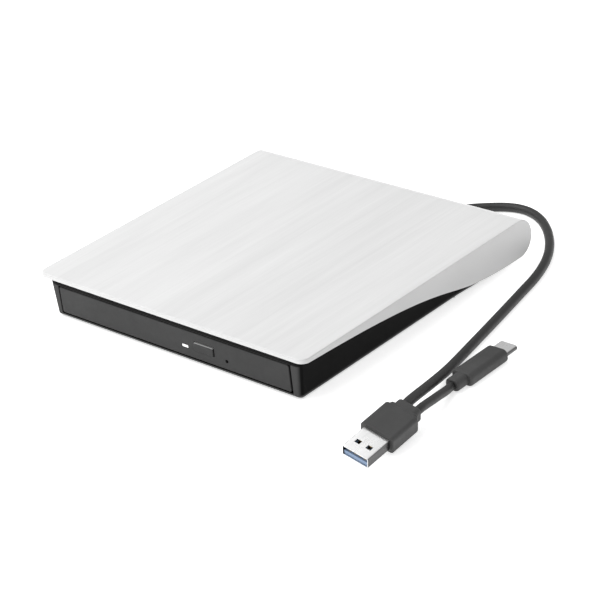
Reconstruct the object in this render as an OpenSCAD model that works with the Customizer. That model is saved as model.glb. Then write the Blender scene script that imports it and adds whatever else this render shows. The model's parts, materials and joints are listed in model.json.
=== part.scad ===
// External slim optical drive: a folded, teardrop-ended top cover over a dark lower shell
// that holds a standard 12.7 mm slim drive, with a short lead that ends in two plugs.
// Millimetres. +X right, +Y to the back, +Z up. The origin is on the surface that the feet
// stand on, under the middle of the case.

/* [Case] */
// Width of the top cover
case_w = 147; // [144:0.5:170]
// Depth from the front lip to the round tail
case_d = 143; // [142:0.5:170]
// Height from the surface to the top of the cover
case_h = 20; // [19.6:0.1:26]
// How far the cover's front lip hangs over the front face
lip_overhang = 2; // [1:0.1:4]
// Height of the cover's front lip
lip_h = 2.1; // [1.9:0.1:3]
// Wall of the top cover
cover_wall = 1.8; // [1.2:0.1:2]
// Height of the round tail
tail_h = 16.9; // [14:0.1:17.2]
// Plan radius of the cover's front corners
cover_corner_r = 4; // [1:0.5:8]

/* [Lower shell] */
// Width of the lower shell along its bottom edge
shell_w = 136; // [135:0.5:137.5]
// How much each side wall leans out over its height
shell_lean = 1.4; // [0:0.1:1.8]
// Width of the flared skid under the tail
skid_w = 144.6; // [138:0.2:146]
// Thickness of the floor under the drive
floor_t = 1.7; // [1.4:0.1:2.2]
// Wall left beside the drive, at the bottom
shell_wall = 2.2; // [1.6:0.1:2.4]
// How far the rubber feet stand below the floor
foot_h = 0.6; // [0.4:0.1:1.5]
// Diameter of a rubber foot
foot_d = 9; // [6:0.5:12]

/* [Slim drive] */
// Width of the slim drive and its bezel
drive_w = 128; // [127:0.5:128.5]
// Depth of the slim drive with its bezel
drive_d = 126.5; // [126.2:0.1:127.4]
// Height of the slim drive
drive_h = 12.7; // [12.5:0.1:13]
// Thickness of the bezel
bezel_t = 3; // [2.6:0.1:3.2]
// Sheet thickness of the drive's chassis
sheet_t = 0.6; // [0.4:0.1:0.7]
// Running gap between pieces that slide past each other
slide_gap = 0.3; // [0.2:0.05:0.35]

/* [Tray] */
// Diameter of the disc recess
recess_d = 121.2; // [120.6:0.1:121.4]
// Diameter of the seat that a disc lies on
turntable_d = 28.4; // [24:0.1:29]
// Diameter of the hub that centres a disc
hub_d = 14.7; // [14:0.1:14.9]

/* [Pickup] */
// Radius from the spindle to the lens at the inner stop
lens_in = 23; // [22.8:0.1:24]
// Radius from the spindle to the lens at the outer stop
lens_out = 57.5; // [45:0.5:57.5]
// Diameter of the guide rods
rod_d = 2.4; // [1.6:0.1:2.6]
// Diameter of the lead screw
screw_d = 2.5; // [1.6:0.1:2.6]

/* [Button and light] */
// Width of the eject button
button_w = 10.4; // [6:0.1:10.8]
// Height of the eject button
button_h = 3.6; // [2.4:0.1:4]
// How far the button goes in
button_travel = 0.6; // [0.3:0.05:0.6]

/* [Lead and plugs] */
// Diameter of the lead
cord_d = 4; // [3:0.1:4]
// Diameter of the short second lead
lead_d = 3.5; // [2.5:0.1:3.5]
// Place of the lead's outlet across the case
outlet_x = 20; // [16:0.5:40]
// Length of the strain relief outside and inside the case
boot_len = 19; // [16:0.5:19]
// Nose-down tilt of the larger plug
plug_pitch = 7; // [0:0.5:7]
// Roll of the larger plug, which lies on one long edge
plug_roll = 12; // [0:0.5:12]

/* [Hidden] */
$fn = 96;
eps = 0.1;
run_gap = 0.05;            // radial gap of a shaft in its bearing
fit_gap = 0.25;            // gap of a moulding round what it holds

// levels and places of the case
y_front = -case_d / 2;
y_tail = case_d / 2;
y_face = y_front + lip_overhang;
z_floor = foot_h;
z_drive = foot_h + floor_t;
z_roof = case_h - cover_wall;
tail_r = tail_h / 2;
tail_cy = y_tail - tail_r;
tail_cz = case_h - tail_r;
z_tail = case_h - tail_h;
z_skid = z_tail - 0.1;

// underside of the cover's cheeks: one bezier curve from the lip to the tail
cheek = [[y_front, case_h - lip_h], [y_front + 69.5, case_h - lip_h - 2.7],
         [tail_cy - 21, z_tail], [tail_cy, z_tail]];
cheek_steps = 24;
function bezier(p, t) = pow(1 - t, 3) * p[0] + 3 * t * pow(1 - t, 2) * p[1]
    + 3 * t * t * (1 - t) * p[2] + pow(t, 3) * p[3];
function arc(c, r, a0, a1, n) = [for (i = [0:n])
    let (a = a0 + (a1 - a0) * i / n) [c[0] + r * cos(a), c[1] + r * sin(a)]];
function cheek_line() = [for (i = [0:cheek_steps]) bezier(cheek, i / cheek_steps)];
function cover_outline() = concat(cheek_line(),
    arc([tail_cy, tail_cz], tail_r, -86, 90, 28), [[y_front, case_h]]);
function room_line() = [for (p = cheek_line())
    if (p[1] + cover_wall < z_roof - eps && p[0] < tail_cy - eps) [p[0], p[1] + cover_wall]];
function room_outline() = concat([[room_line()[0][0] - eps, z_roof]], room_line(),
    arc([tail_cy, tail_cz], tail_r - cover_wall, -90, 90, 24));

// lower shell
shell_top_half = shell_w / 2 + shell_lean;
shell_in_half = shell_w / 2 - shell_wall;
shell_edge = 1.2;                       // size of the eased bottom edge
z_shell_top = z_roof - 0.2;
front_t = 2.2;
y_drive_end = y_face + drive_d;
y_shell_end = y_drive_end + 0.5;
y_belly_end = y_shell_end + 0.7;
belly_half = shell_top_half + 0.4;
skid_len = 40;                          // length over which the skid flares
y_skid_end = y_tail - 7;
skid_corner = 10;
y_skid_start = y_skid_end - skid_len;

// bridge board bay behind the drive
bay_x0 = -36;
bay_x1 = 13;
y_bay_end = y_skid_end - 1;
z_board = z_skid + 2.2;
board_t = 0.8;
post_x = [-31, 9];
post_y = y_drive_end + 3.5;
post_r = 1.8;
pilot_r = 0.7;

// case screws at the two back corners
case_screw_x = 60;
case_screw_y = y_shell_end + 3;
boss_r = 2.6;
screw_r = 0.85;
head_r = 2;
head_h = 1.1;
head_sink = 0.3;                        // how far a head sits up inside the floor

// drive screws through the floor
drive_screw_x = 58;
drive_screw_y = y_drive_end - 5;
drive_head_h = 0.7;
collar_h = 1.7;

feet = [[-52, y_front + 15], [52, y_front + 15], [-52, y_tail - 27], [52, y_tail - 27]];
foot_sink = 0.5;

// slim drive
drive_half = drive_w / 2;
y_bezel_back = y_face + bezel_t;
y_chassis = y_bezel_back + slide_gap;
z_pan = z_drive + sheet_t;
z_lid = z_drive + drive_h - 0.5;
lid_t = 0.5;
lid_tab = [4, 6, 1.2];
lid_screw_x = 61.5;
lid_screw_ys = [y_chassis + 8, y_drive_end - 9];
lid_head_r = 1.6;
lid_head_h = 0.5;
lid_shank_r = 0.75;

// bezel
bezel_z0 = z_drive + 0.3;
bezel_z1 = z_drive + drive_h - 0.5;
bezel_gap = 0.35;
button_x = 18.1;
button_z = z_drive + 6.1;
button_proud = 0.4;
cap_t = 2.7;
stem = [4, 2];                          // width and height of the button's stem
stem_z = button_z - 0.5;
stem_len = 2.6;
light_x = 7.55;
light_z = z_drive + 4.7;
light = [3.3, 1.2];
release_x = 30.2;                       // emergency release hole
release_z = z_drive + 4.1;
release_r = 0.75;

// tray
tray_y0 = y_bezel_back;
tray_y1 = y_drive_end - 7;
tray_half = drive_half - 2;
skirt_half = drive_half - 6.4;
skirt_t = 2;
z_shield = z_pan + 0.5;
shield_t = 0.4;
z_skirt = z_shield + shield_t;
z_deck = z_skirt + 5.6;
z_wing = z_deck + 0.4;
z_recess = z_deck + 1;
z_rim = z_deck + 3.5;
wall_t = 2;
disc_y = y_bezel_back + recess_d / 2 + 1.3;
column_x = 46;                          // lane that stays free for the latch pin
column_half = 2.2;
column_h = 3.6;
pin_r = 1.2;
pin_y = tray_y0 + 10.5;
pin_h = 4.1;

// slide rails and their guides
rail_out = drive_half - 1.5;
rail_in = skirt_half + 1;
rail_t = 0.6;
z_rail0 = z_pan + 1.3;
z_rail1 = z_rail0 + 4.7;
rail_y0 = tray_y0 + 2.5;
rail_y1 = tray_y1 - 7;
guide_lip = 2.3;

// pickup mechanism, laid out along the lens's path
mech_angle = 225;
z_frame = z_skirt + 0.3;
frame_t = 0.5;
z_mech = z_frame + frame_t;
frame_u = [-16, lens_out + 5.5];
frame_v = [-15.2, 20.5];
rod_v = 12.6;
screw_v = 17.4;
z_axis = z_skirt + 2.8;
sled_back = 8.5;                        // sled behind and ahead of the lens
sled_front = 4.5;
sled_half = 14.4;
z_sled = z_mech + 0.4;
sled_h = 4.2;
z_sled_top = z_sled + sled_h;
tab_t = 0.7;
tab_top = z_axis + 1.8;
motor_r = 2.7;
motor_len = 12;
actuator = [9, 10, 1.2];                // along, across and height of the lens holder
pocket_gap = 0.5;
lens_r = 2.2;
lens_h = 0.3;
slot_half = 6;
cover_half = 12.8;
cover_u = [8.3, 60.1];
cover_hub_r = 17.5;
mech_cover_t = 0.3;
ledge = 1.4;
hub_clear = 0.6;
base_r = 12;
base_t = 0.6;
cup_r = 11.5;
cup_wall = 1;
z_cup = z_mech + 1;
z_flange = z_mech + 5.1;
flange_t = 0.9;
sleeve_r = 2.4;
shaft_r = 1;
ring_t = 0.3;
ring_w = 3;
hub_h = 2;
ball_r = 0.9;
ball_out = 0.25;

// boards on the tray
front_board = [3, 36, tray_y0 + 2.6, tray_y0 + 10.5];
z_tray_board = z_skirt + 0.6;
switch_w = 6.6;
switch_t = 3.6;
main_board = [5, 43, 18, 46];
chips = [[10, 20, 12, 12], [26, 22, 9, 7], [27, 34, 11, 8]];
chip_h = 1.3;
flex_x = [20, 34];
flex_t = 0.15;

// latch lever and its solenoid
latch = [41, tray_y0 + 22.5];
latch_z = z_skirt + 1.4;
latch_t = 1.4;
latch_hub_r = 2.2;
latch_post_r = 1;
latch_arm = [[-1.6, 0], [1.7, 0], [2.6, -8.2], [3.2, -8.4], [3.2, -10.2], [-0.2, -10.2]];
latch_tail = [[1.4, 0], [-1.4, 0], [-2.4, 6.4], [-0.6, 6.4]];
coil = [25, 35.6, tray_y0 + 25, tray_y0 + 31];

// data plug at the back of the drive
data_x = [-25, 3];
z_data = z_board + board_t;
data_h = 3.8;
back_board = [-40, 40, y_drive_end - 5.8, y_drive_end - 0.7];
lug_x = 36;

// strain relief and lead
boot_z = 3.8;
boot_y0 = y_tail - 12.5;
boot_y1 = boot_y0 + boot_len;
boot_r0 = 3.2;
boot_r1 = 2.5;
boot_hold = 3;                          // depth of the socket that the lead sits in
boot_flange = [9, 2, 4];

// larger plug: shell 12 x 4.5 mm
plug_at = [116.2, -81.6, 5.7];
plug_yaw = -1;
a_shell = [12, 12.3, 4.5];
a_wall = 0.32;
a_body = [15.4, 15, 7.6];
a_step = [13, 1.2, 7];
a_neck = [10.6, 3.3, 6.4];
a_split = 2.6;                          // half the distance between the two leads
a_window = [2.3, 1.9];
a_window_x = 2.6;
a_window_y = 7.3;

// smaller plug: shell 8.3 x 2.4 mm
c_at = [113.2, -28, 2.85];
c_shell = [8.3, 6.6, 2.4];
c_wall = 0.3;
c_body = [10, 23, 5.6];
c_neck = [6.6, 6, 5];

// Routes of the two leads, chosen by hand: from the strain relief round the tail's corner
// and forward beside the case to the larger plug, and from there back to the smaller one.
cord_route = [[20, 75.5, 3.8], [20, 78, 3.8], [20, 80.5, 3.75], [20.4, 83.6, 3.4],
    [21.6, 87, 2.8], [23.6, 90.2, 2.3], [26.4, 93.2, 2.05], [30.2, 96, 2], [34.6, 98.8, 2],
    [39.4, 101, 2], [44.8, 102, 2], [50.6, 101.2, 2], [57, 98.4, 2], [64, 93.2, 2],
    [71, 86, 2], [77, 78, 2], [81.6, 70, 2], [85, 62, 2], [87.8, 53, 2], [90.2, 42, 2],
    [92.5, 31, 2], [94.8, 20, 2], [97.1, 8.6, 2], [99.4, -3, 2], [101.7, -14.6, 2],
    [104.2, -25, 2.7], [106.7, -35, 4.1], [109.2, -45, 5.8], [111.3, -53.4, 7.3],
    [112.9, -59, 8.3], [113.8, -62, 8.6], [113.96, -64.05, 8.4]];
lead_route = [[119.05, -64, 7.3], [119.1, -61.8, 7.6], [118.8, -58.8, 7.6],
    [118.1, -55, 7], [117.2, -50.5, 6.1], [116.2, -46, 5.2], [115.2, -41.5, 4.2],
    [114.2, -37.8, 3.35], [113.4, -35, 2.9], [113.2, -33.2, 2.85], [113.2, -31.6, 2.85]];

// ---- helpers ---------------------------------------------------------------------------

// block between two corners given as ranges
module block(x, y, z) {
    translate([x[0], y[0], z[0]]) cube([x[1] - x[0], y[1] - y[0], z[1] - z[0]]);
}

// outline in Y and Z carried along X
module along_x(outline, x) {
    translate([x[0], 0, 0]) rotate([90, 0, 90]) linear_extrude(x[1] - x[0]) polygon(outline);
}

// outline in X and Z carried along Y
module along_y(outline, y) {
    translate([0, y[1], 0]) rotate([90, 0, 0]) linear_extrude(y[1] - y[0]) polygon(outline);
}

// outline in X and Y carried up
module upright(outline, z) {
    translate([0, 0, z[0]]) linear_extrude(z[1] - z[0]) polygon(outline);
}

module post(at, r, z) {
    translate([at[0], at[1], z[0]]) cylinder(r = r, h = z[1] - z[0]);
}

module rod_y(x, z, r, y) {
    translate([x, y[1], z]) rotate([90, 0, 0]) cylinder(r = r, h = y[1] - y[0]);
}

module rod_x(y, z, r, x) {
    translate([x[0], y, z]) rotate([0, 90, 0]) cylinder(r = r, h = x[1] - x[0]);
}

// rectangle with round corners, centred on the axis
function round_rect(w, h, r) = concat(
    arc([w / 2 - r, h / 2 - r], r, 0, 90, 8), arc([r - w / 2, h / 2 - r], r, 90, 180, 8),
    arc([r - w / 2, r - h / 2], r, 180, 270, 8), arc([w / 2 - r, r - h / 2], r, 270, 360, 8));

module both_sides() {
    children();
    mirror([1, 0, 0]) children();
}

// the pickup's own axes: the lens moves along +X from the spindle
module in_mech() {
    translate([0, disc_y, 0]) rotate(mech_angle) children();
}

// tube swept along a route: each ring stands square to the route
function unit(v) = v / norm(v);
function heading(p, i) = unit(p[min(i + 1, len(p) - 1)] - p[max(i - 1, 0)]);
function ring(c, t, r, n) = let (s = unit(cross(t, [0, 0, 1])), u = cross(s, t))
    [for (k = [0:n - 1]) c + r * (cos(360 * k / n) * s + sin(360 * k / n) * u)];
module tube(p, r, n) {
    last = len(p) - 1;
    points = [for (i = [0:last]) each ring(p[i], heading(p, i), r, n)];
    sides = [for (i = [0:last - 1], k = [0:n - 1])
        [i * n + k, (i + 1) * n + k, (i + 1) * n + (k + 1) % n, i * n + (k + 1) % n]];
    ends = [[for (k = [0:n - 1]) k], [for (k = [n - 1:-1:0]) last * n + k]];
    polyhedron(points, concat(sides, ends));
}

module at_plug_a() {
    translate(plug_at) rotate([0, 0, plug_yaw]) rotate([plug_pitch, 0, 0])
        rotate([0, plug_roll, 0]) children();
}

// ---- case ------------------------------------------------------------------------------

// plan of the cover: round front corners, square behind the tail
function cover_plan() = concat(
    arc([case_w / 2 - cover_corner_r, y_front + cover_corner_r], cover_corner_r, -90, 0, 12),
    [[case_w / 2, y_tail], [-case_w / 2, y_tail]],
    arc([cover_corner_r - case_w / 2, y_front + cover_corner_r], cover_corner_r, 180, 270, 12));

rib_xs = [-45, -15, 15, 45];
rib_t = 1.2;
rib_gap = 0.3;
module top_cover() {
    half = case_w / 2;
    color([0.93, 0.93, 0.94]) difference() {
        union() {
            difference() {
                intersection() {
                    along_x(cover_outline(), [-half, half]);
                    upright(cover_plan(), [0, case_h + eps]);
                }
                along_x(room_outline(), [cover_wall - half, half - cover_wall]);
                block([-belly_half, belly_half], [y_face - 0.2, y_belly_end], [0, z_roof]);
                block([bay_x0, bay_x1], [y_belly_end - eps, y_bay_end], [0, tail_cz]);
            }
            both_sides() post([case_screw_x, case_screw_y], boss_r,
                [z_tail + cover_wall / 2, z_roof + eps]);
            for (x = rib_xs)
                block([x - rib_t / 2, x + rib_t / 2], [y_face + 8, y_drive_end - 4],
                    [z_lid + lid_t + rib_gap, z_roof + eps]);
        }
        both_sides() post([case_screw_x, case_screw_y], screw_r + run_gap,
            [z_tail - eps, z_tail + 8.9]);
        rod_y(outlet_x, boot_z, boot_r0 + fit_gap, [y_belly_end - 1, y_tail + eps]);
    }
}

// plan of the skid: it flares behind the side walls and has round back corners
function flare(t) = t * t * (3 - 2 * t);
function skid_half(y) = shell_w / 2 + (skid_w - shell_w) / 2
    * flare(max(0, min(1, (y - y_skid_start) / (skid_len - skid_corner - 3))));
function skid_side() = [for (i = [0:12])
    let (y = y_skid_start + (skid_len - skid_corner) * i / 12) [skid_half(y), y]];
function skid_right() = concat(skid_side(),
    arc([skid_w / 2 - skid_corner, y_skid_end - skid_corner], skid_corner, 8, 90, 10));
function skid_plan() = concat(skid_right(),
    [for (i = [len(skid_right()) - 1:-1:0]) [-skid_right()[i][0], skid_right()[i][1]]]);

function shell_section() = [
    [shell_edge - shell_w / 2, z_floor], [shell_w / 2 - shell_edge, z_floor],
    [shell_w / 2 - shell_edge * 0.3, z_floor + shell_edge * 0.3],
    [shell_w / 2, z_floor + shell_edge], [shell_top_half, z_shell_top],
    [-shell_top_half, z_shell_top], [-shell_w / 2, z_floor + shell_edge],
    [shell_edge * 0.3 - shell_w / 2, z_floor + shell_edge * 0.3]];

module lower_shell() {
    color([0.12, 0.12, 0.13]) difference() {
        union() {
            difference() {
                union() {
                    along_y(shell_section(), [y_face, y_shell_end]);
                    upright(skid_plan(), [z_floor, z_skid]);
                }
                block([-shell_in_half, shell_in_half], [y_face + front_t, y_shell_end + eps],
                    [z_drive, case_h]);
            }
            for (x = post_x) post([x, post_y], post_r, [z_skid - eps, z_board]);
        }
        // mouth that the drive's bezel fills
        block([-drive_half - bezel_gap, drive_half + bezel_gap],
            [y_face - eps, y_face + front_t + eps], [z_drive, bezel_z1 + bezel_gap]);
        for (p = feet) post(p, foot_d / 2 + run_gap, [0, z_floor + foot_sink]);
        both_sides() {
            post([case_screw_x, case_screw_y], head_r + fit_gap,
                [0, z_floor + head_sink + head_h]);
            post([case_screw_x, case_screw_y], screw_r + fit_gap, [0, z_skid + eps]);
            post([drive_screw_x, drive_screw_y], head_r + fit_gap,
                [0, z_floor + head_sink + drive_head_h]);
            post([drive_screw_x, drive_screw_y], screw_r + fit_gap, [0, z_drive + eps]);
        }
        for (x = post_x) post([x, post_y], pilot_r + run_gap, [z_skid - 1, z_board + eps]);
        rod_y(outlet_x, boot_z, boot_r0 + fit_gap, [boot_y0 - fit_gap, y_skid_end + eps]);
    }
}

module rubber_feet() {
    color([0.2, 0.2, 0.2]) for (p = feet) post(p, foot_d / 2, [0, z_floor + foot_sink]);
}

// one pan-head screw, head down, that goes up from z
module floor_screw(at, z, head, len) {
    post(at, head_r, [z, z + head]);
    post(at, screw_r, [z + head, z + head + len]);
}

module case_screws() {
    color([0.5, 0.5, 0.52]) both_sides()
        floor_screw([case_screw_x, case_screw_y], z_floor + head_sink, head_h, 8);
}

module drive_screws() {
    color([0.5, 0.5, 0.52]) both_sides()
        floor_screw([drive_screw_x, drive_screw_y], z_floor + head_sink, drive_head_h,
            z_pan + collar_h - z_floor - head_sink - drive_head_h);
}

// ---- fixed half of the slim drive --------------------------------------------------------

module drive_chassis() {
    side = drive_half - sheet_t;
    color([0.72, 0.73, 0.75]) difference() {
        union() {
            block([-drive_half, drive_half], [y_chassis, y_drive_end], [z_drive, z_pan]);
            both_sides() {
                block([side, drive_half], [y_chassis, y_drive_end], [z_drive, z_lid]);
                post([drive_screw_x, drive_screw_y], screw_r + 1, [z_pan - eps, z_pan + collar_h]);
                for (y = lid_screw_ys)
                    block([side - lid_tab[0], side + eps], [y - lid_tab[1] / 2, y + lid_tab[1] / 2],
                        [z_lid - lid_tab[2], z_lid]);
                block([lug_x - 1.5, lug_x + 1.5], [back_board[2] + 0.8, back_board[3] - 0.8],
                    [z_pan - eps, z_board]);
            }
            block([-drive_half, drive_half], [y_drive_end - sheet_t, y_drive_end],
                [z_drive, z_lid]);
        }
        block([data_x[0] - slide_gap, data_x[1] + slide_gap],
            [y_drive_end - sheet_t - eps, y_drive_end + eps],
            [z_data - slide_gap, z_data + data_h + slide_gap]);
        both_sides() {
            post([drive_screw_x, drive_screw_y], screw_r + run_gap,
                [z_drive - eps, z_pan + collar_h + eps]);
            for (y = lid_screw_ys) post([lid_screw_x, y], lid_shank_r + run_gap,
                [z_lid - lid_tab[2] - eps, z_lid + eps]);
        }
    }
}

module drive_lid() {
    color([0.78, 0.79, 0.8]) difference() {
        block([-drive_half, drive_half], [y_chassis, y_drive_end], [z_lid, z_lid + lid_t]);
        both_sides() for (y = lid_screw_ys)
            post([lid_screw_x, y], lid_shank_r + run_gap, [z_lid - eps, z_lid + lid_t + eps]);
    }
}

module lid_screws() {
    color([0.45, 0.45, 0.47]) both_sides() for (y = lid_screw_ys) {
        post([lid_screw_x, y], lid_head_r, [z_lid + lid_t, z_lid + lid_t + lid_head_h]);
        post([lid_screw_x, y], lid_shank_r, [z_lid - lid_tab[2], z_lid + lid_t]);
    }
}

// plastic channel on the chassis wall that a rail runs in
module guide() {
    x1 = drive_half - sheet_t;
    x0 = rail_out + slide_gap;
    color([0.16, 0.16, 0.17]) {
        block([x0, x1], [y_chassis + 1, tray_y1], [z_pan, z_rail1 + slide_gap + 0.4]);
        block([x0 - guide_lip, x0 + eps], [y_chassis + 1, tray_y1], [z_pan, z_rail0 - slide_gap]);
        block([x0 - guide_lip, x0 + eps], [y_chassis + 1, tray_y1],
            [z_rail1 + slide_gap, z_rail1 + slide_gap + 0.4]);
    }
}

module guide_right() {
    guide();
}

module guide_left() {
    mirror([1, 0, 0]) guide();
}

// steel channel, open towards the tray
module slide_rail() {
    color([0.8, 0.81, 0.82]) {
        block([rail_out - rail_t, rail_out], [rail_y0, rail_y1], [z_rail0, z_rail1]);
        for (z = [z_rail0, z_rail1 - rail_t])
            block([rail_in, rail_out], [rail_y0, rail_y1], [z, z + rail_t]);
    }
}

module slide_rail_right() {
    slide_rail();
}

module slide_rail_left() {
    mirror([1, 0, 0]) slide_rail();
}

module latch_pin() {
    color([0.6, 0.6, 0.62]) post([column_x, pin_y], pin_r, [z_pan, z_pan + pin_h]);
}

module back_board() {
    color([0.1, 0.35, 0.2]) block([back_board[0], back_board[1]],
        [back_board[2], back_board[3]], [z_board, z_board + board_t]);
}

module data_plug() {
    color([0.1, 0.1, 0.11]) difference() {
        block(data_x, [back_board[2] + 0.3, y_drive_end], [z_data, z_data + data_h]);
        block([data_x[0] + 1.5, data_x[1] - 1.5], [y_drive_end - 3, y_drive_end + eps],
            [z_data + 1, z_data + data_h - 1]);
    }
}

// flat cable: a lower run on the chassis floor and a short riser to the back board
module flex_lower() {
    color([0.85, 0.8, 0.6]) {
        block(flex_x, [-5, back_board[2] + 2], [z_pan, z_pan + flex_t]);
        block(flex_x, [back_board[2] + 2 - flex_t, back_board[2] + 2], [z_pan, z_board]);
    }
}

// ---- tray ------------------------------------------------------------------------------

// ways through the tray's floor for the mechanism, its cover and the turntable
module mech_opening() {
    in_mech() {
        block([10, cover_u[1] - 0.6], [ledge - cover_half, cover_half - ledge],
            [z_deck - eps, z_recess + eps]);
        block([10, lens_out + 5.1], [-slot_half, slot_half], [z_deck - eps, z_recess + eps]);
        post([0, 0], turntable_d / 2 + hub_clear + 0.4, [z_deck - eps, z_recess + eps]);
        block([8, cover_u[1] + slide_gap], [-cover_half - slide_gap, cover_half + slide_gap],
            [z_recess - 0.45, z_recess + eps]);
        post([0, 0], cover_hub_r + slide_gap, [z_recess - 0.45, z_recess + eps]);
    }
}

// floor that a disc lies over
module tray() {
    color([0.13, 0.13, 0.14]) difference() {
        block([-skirt_half, skirt_half], [tray_y0, tray_y1], [z_deck, z_recess]);
        mech_opening();
    }
}

// raised rim and side wings round the disc
module tray_rim() {
    color([0.13, 0.13, 0.14]) difference() {
        block([-tray_half, tray_half], [tray_y0, tray_y1], [z_wing, z_rim]);
        block([-skirt_half, skirt_half], [tray_y0 - eps, tray_y1 + eps],
            [z_wing - eps, z_recess]);
        post([0, disc_y], recess_d / 2, [z_recess, z_rim + eps]);
    }
}

// walls under the floor, the runners in the slide rails, and the posts
module tray_frame() {
    color([0.13, 0.13, 0.14]) difference() {
        union() {
            both_sides() {
                block([skirt_half - skirt_t, skirt_half], [tray_y0, tray_y1],
                    [z_skirt, z_deck]);
                block([skirt_half - eps, rail_out - rail_t - slide_gap],
                    [rail_y0 + 4, tray_y1 - 2],
                    [z_rail0 + rail_t + slide_gap, z_rail1 - rail_t - slide_gap]);
            }
            for (y = [tray_y0, tray_y1 - wall_t])
                block([-skirt_half, skirt_half], [y, y + wall_t], [z_skirt, z_deck]);
            // posts that hold the mechanism and the latch
            in_mech() for (v = [-12, 12]) post([-13, v], 2, [z_mech, z_deck]);
            post(latch, latch_post_r, [latch_z - 0.3, z_deck]);
        }
        // ways through the front wall for the button, the light and the release
        front = [tray_y0 - eps, tray_y0 + wall_t + eps];
        block([button_x - stem[0] / 2 - slide_gap, button_x + stem[0] / 2 + slide_gap], front,
            [stem_z - stem[1] / 2 - slide_gap, stem_z + stem[1] / 2 + slide_gap]);
        block([light_x - light[0] / 2 - fit_gap, light_x + light[0] / 2 + fit_gap], front,
            [light_z - light[1] / 2 - fit_gap, light_z + light[1] / 2 + fit_gap]);
        rod_y(release_x, release_z, release_r * 2, front);
        // lane for the latch pin
        block([column_x - column_half, column_x + column_half],
            [tray_y1 - wall_t - eps, tray_y1 + eps], [z_skirt - eps, z_skirt + column_h]);
    }
}

module tray_shield() {
    color([0.7, 0.71, 0.73]) difference() {
        block([0.2 - skirt_half, skirt_half - 0.2], [tray_y0 + wall_t, tray_y1 - 0.2],
            [z_shield, z_skirt]);
        block([column_x - column_half, column_x + column_half], [pin_y - 2.5, tray_y1],
            [z_shield - eps, z_skirt + eps]);
    }
}

module tray_bezel() {
    through = [y_face - eps, y_bezel_back + eps];
    color([0.2, 0.2, 0.21]) difference() {
        block([-drive_half, drive_half], [y_face, y_bezel_back], [bezel_z0, bezel_z1]);
        block([button_x - button_w / 2 - fit_gap, button_x + button_w / 2 + fit_gap], through,
            [button_z - button_h / 2 - fit_gap, button_z + button_h / 2 + fit_gap]);
        block([light_x - light[0] / 2 - run_gap, light_x + light[0] / 2 + run_gap], through,
            [light_z - light[1] / 2 - run_gap, light_z + light[1] / 2 + run_gap]);
        rod_y(release_x, release_z, release_r, through);
    }
}

module eject_button() {
    y0 = y_face - button_proud;
    color([0.22, 0.22, 0.23]) {
        along_y([for (p = round_rect(button_w, button_h, 0.5)) p + [button_x, button_z]],
            [y0, y_face - button_proud + cap_t]);
        block([button_x - stem[0] / 2, button_x + stem[0] / 2],
            [y0 + cap_t - eps, y0 + cap_t + stem_len],
            [stem_z - stem[1] / 2, stem_z + stem[1] / 2]);
    }
}

module light_pipe() {
    color([0.9, 0.95, 0.95]) block([light_x - light[0] / 2, light_x + light[0] / 2],
        [y_face + 0.1, front_board[2] - 0.3],
        [light_z - light[1] / 2, light_z + light[1] / 2]);
}

module status_light() {
    color([0.8, 0.9, 0.8]) block([light_x - 1, light_x + 1],
        [front_board[2], front_board[2] + 1.3],
        [z_tray_board + board_t, light_z + light[1] / 2]);
}

module front_board() {
    color([0.1, 0.35, 0.2]) block([front_board[0], front_board[1]],
        [front_board[2], front_board[3]], [z_tray_board, z_tray_board + board_t]);
}

module eject_switch() {
    plunger_y = y_face - button_proud + cap_t + stem_len + button_travel + run_gap;
    color([0.3, 0.3, 0.32]) {
        block([button_x - switch_w / 2, button_x + switch_w / 2],
            [plunger_y + 0.4, plunger_y + 0.4 + switch_t],
            [z_tray_board + board_t, stem_z + stem[1] / 2]);
        block([button_x - 1.2, button_x + 1.2], [plunger_y, plunger_y + 0.4 + eps],
            [stem_z - 0.8, stem_z + 0.8]);
    }
}

module latch_lever() {
    color([0.75, 0.75, 0.77]) translate([latch[0], latch[1], latch_z]) difference() {
        union() {
            cylinder(r = latch_hub_r, h = latch_t);
            linear_extrude(latch_t) polygon(latch_arm);
            linear_extrude(latch_t) polygon(latch_tail);
        }
        translate([0, 0, -eps]) cylinder(r = latch_post_r + run_gap, h = latch_t + 2 * eps);
    }
}

module latch_solenoid() {
    color([0.65, 0.45, 0.2]) {
        block([coil[0], coil[1]], [coil[2], coil[3]], [z_skirt, z_skirt + 5]);
        rod_x(coil[2] + 3, z_skirt + 2.5, 1, [coil[1] - eps, coil[1] + 1]);
    }
}

module main_board() {
    color([0.1, 0.35, 0.2]) block([main_board[0], main_board[1]],
        [main_board[2], main_board[3]], [z_tray_board, z_tray_board + board_t]);
}

module board_chips() {
    z = z_tray_board + board_t;
    color([0.08, 0.08, 0.09]) for (c = chips)
        block([c[0], c[0] + c[2]], [c[1], c[1] + c[3]], [z, z + chip_h]);
}

module flex_upper() {
    color([0.85, 0.8, 0.6]) block(flex_x, [0, main_board[3]], [z_skirt, z_skirt + flex_t]);
}

// ---- pickup mechanism ------------------------------------------------------------------

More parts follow.
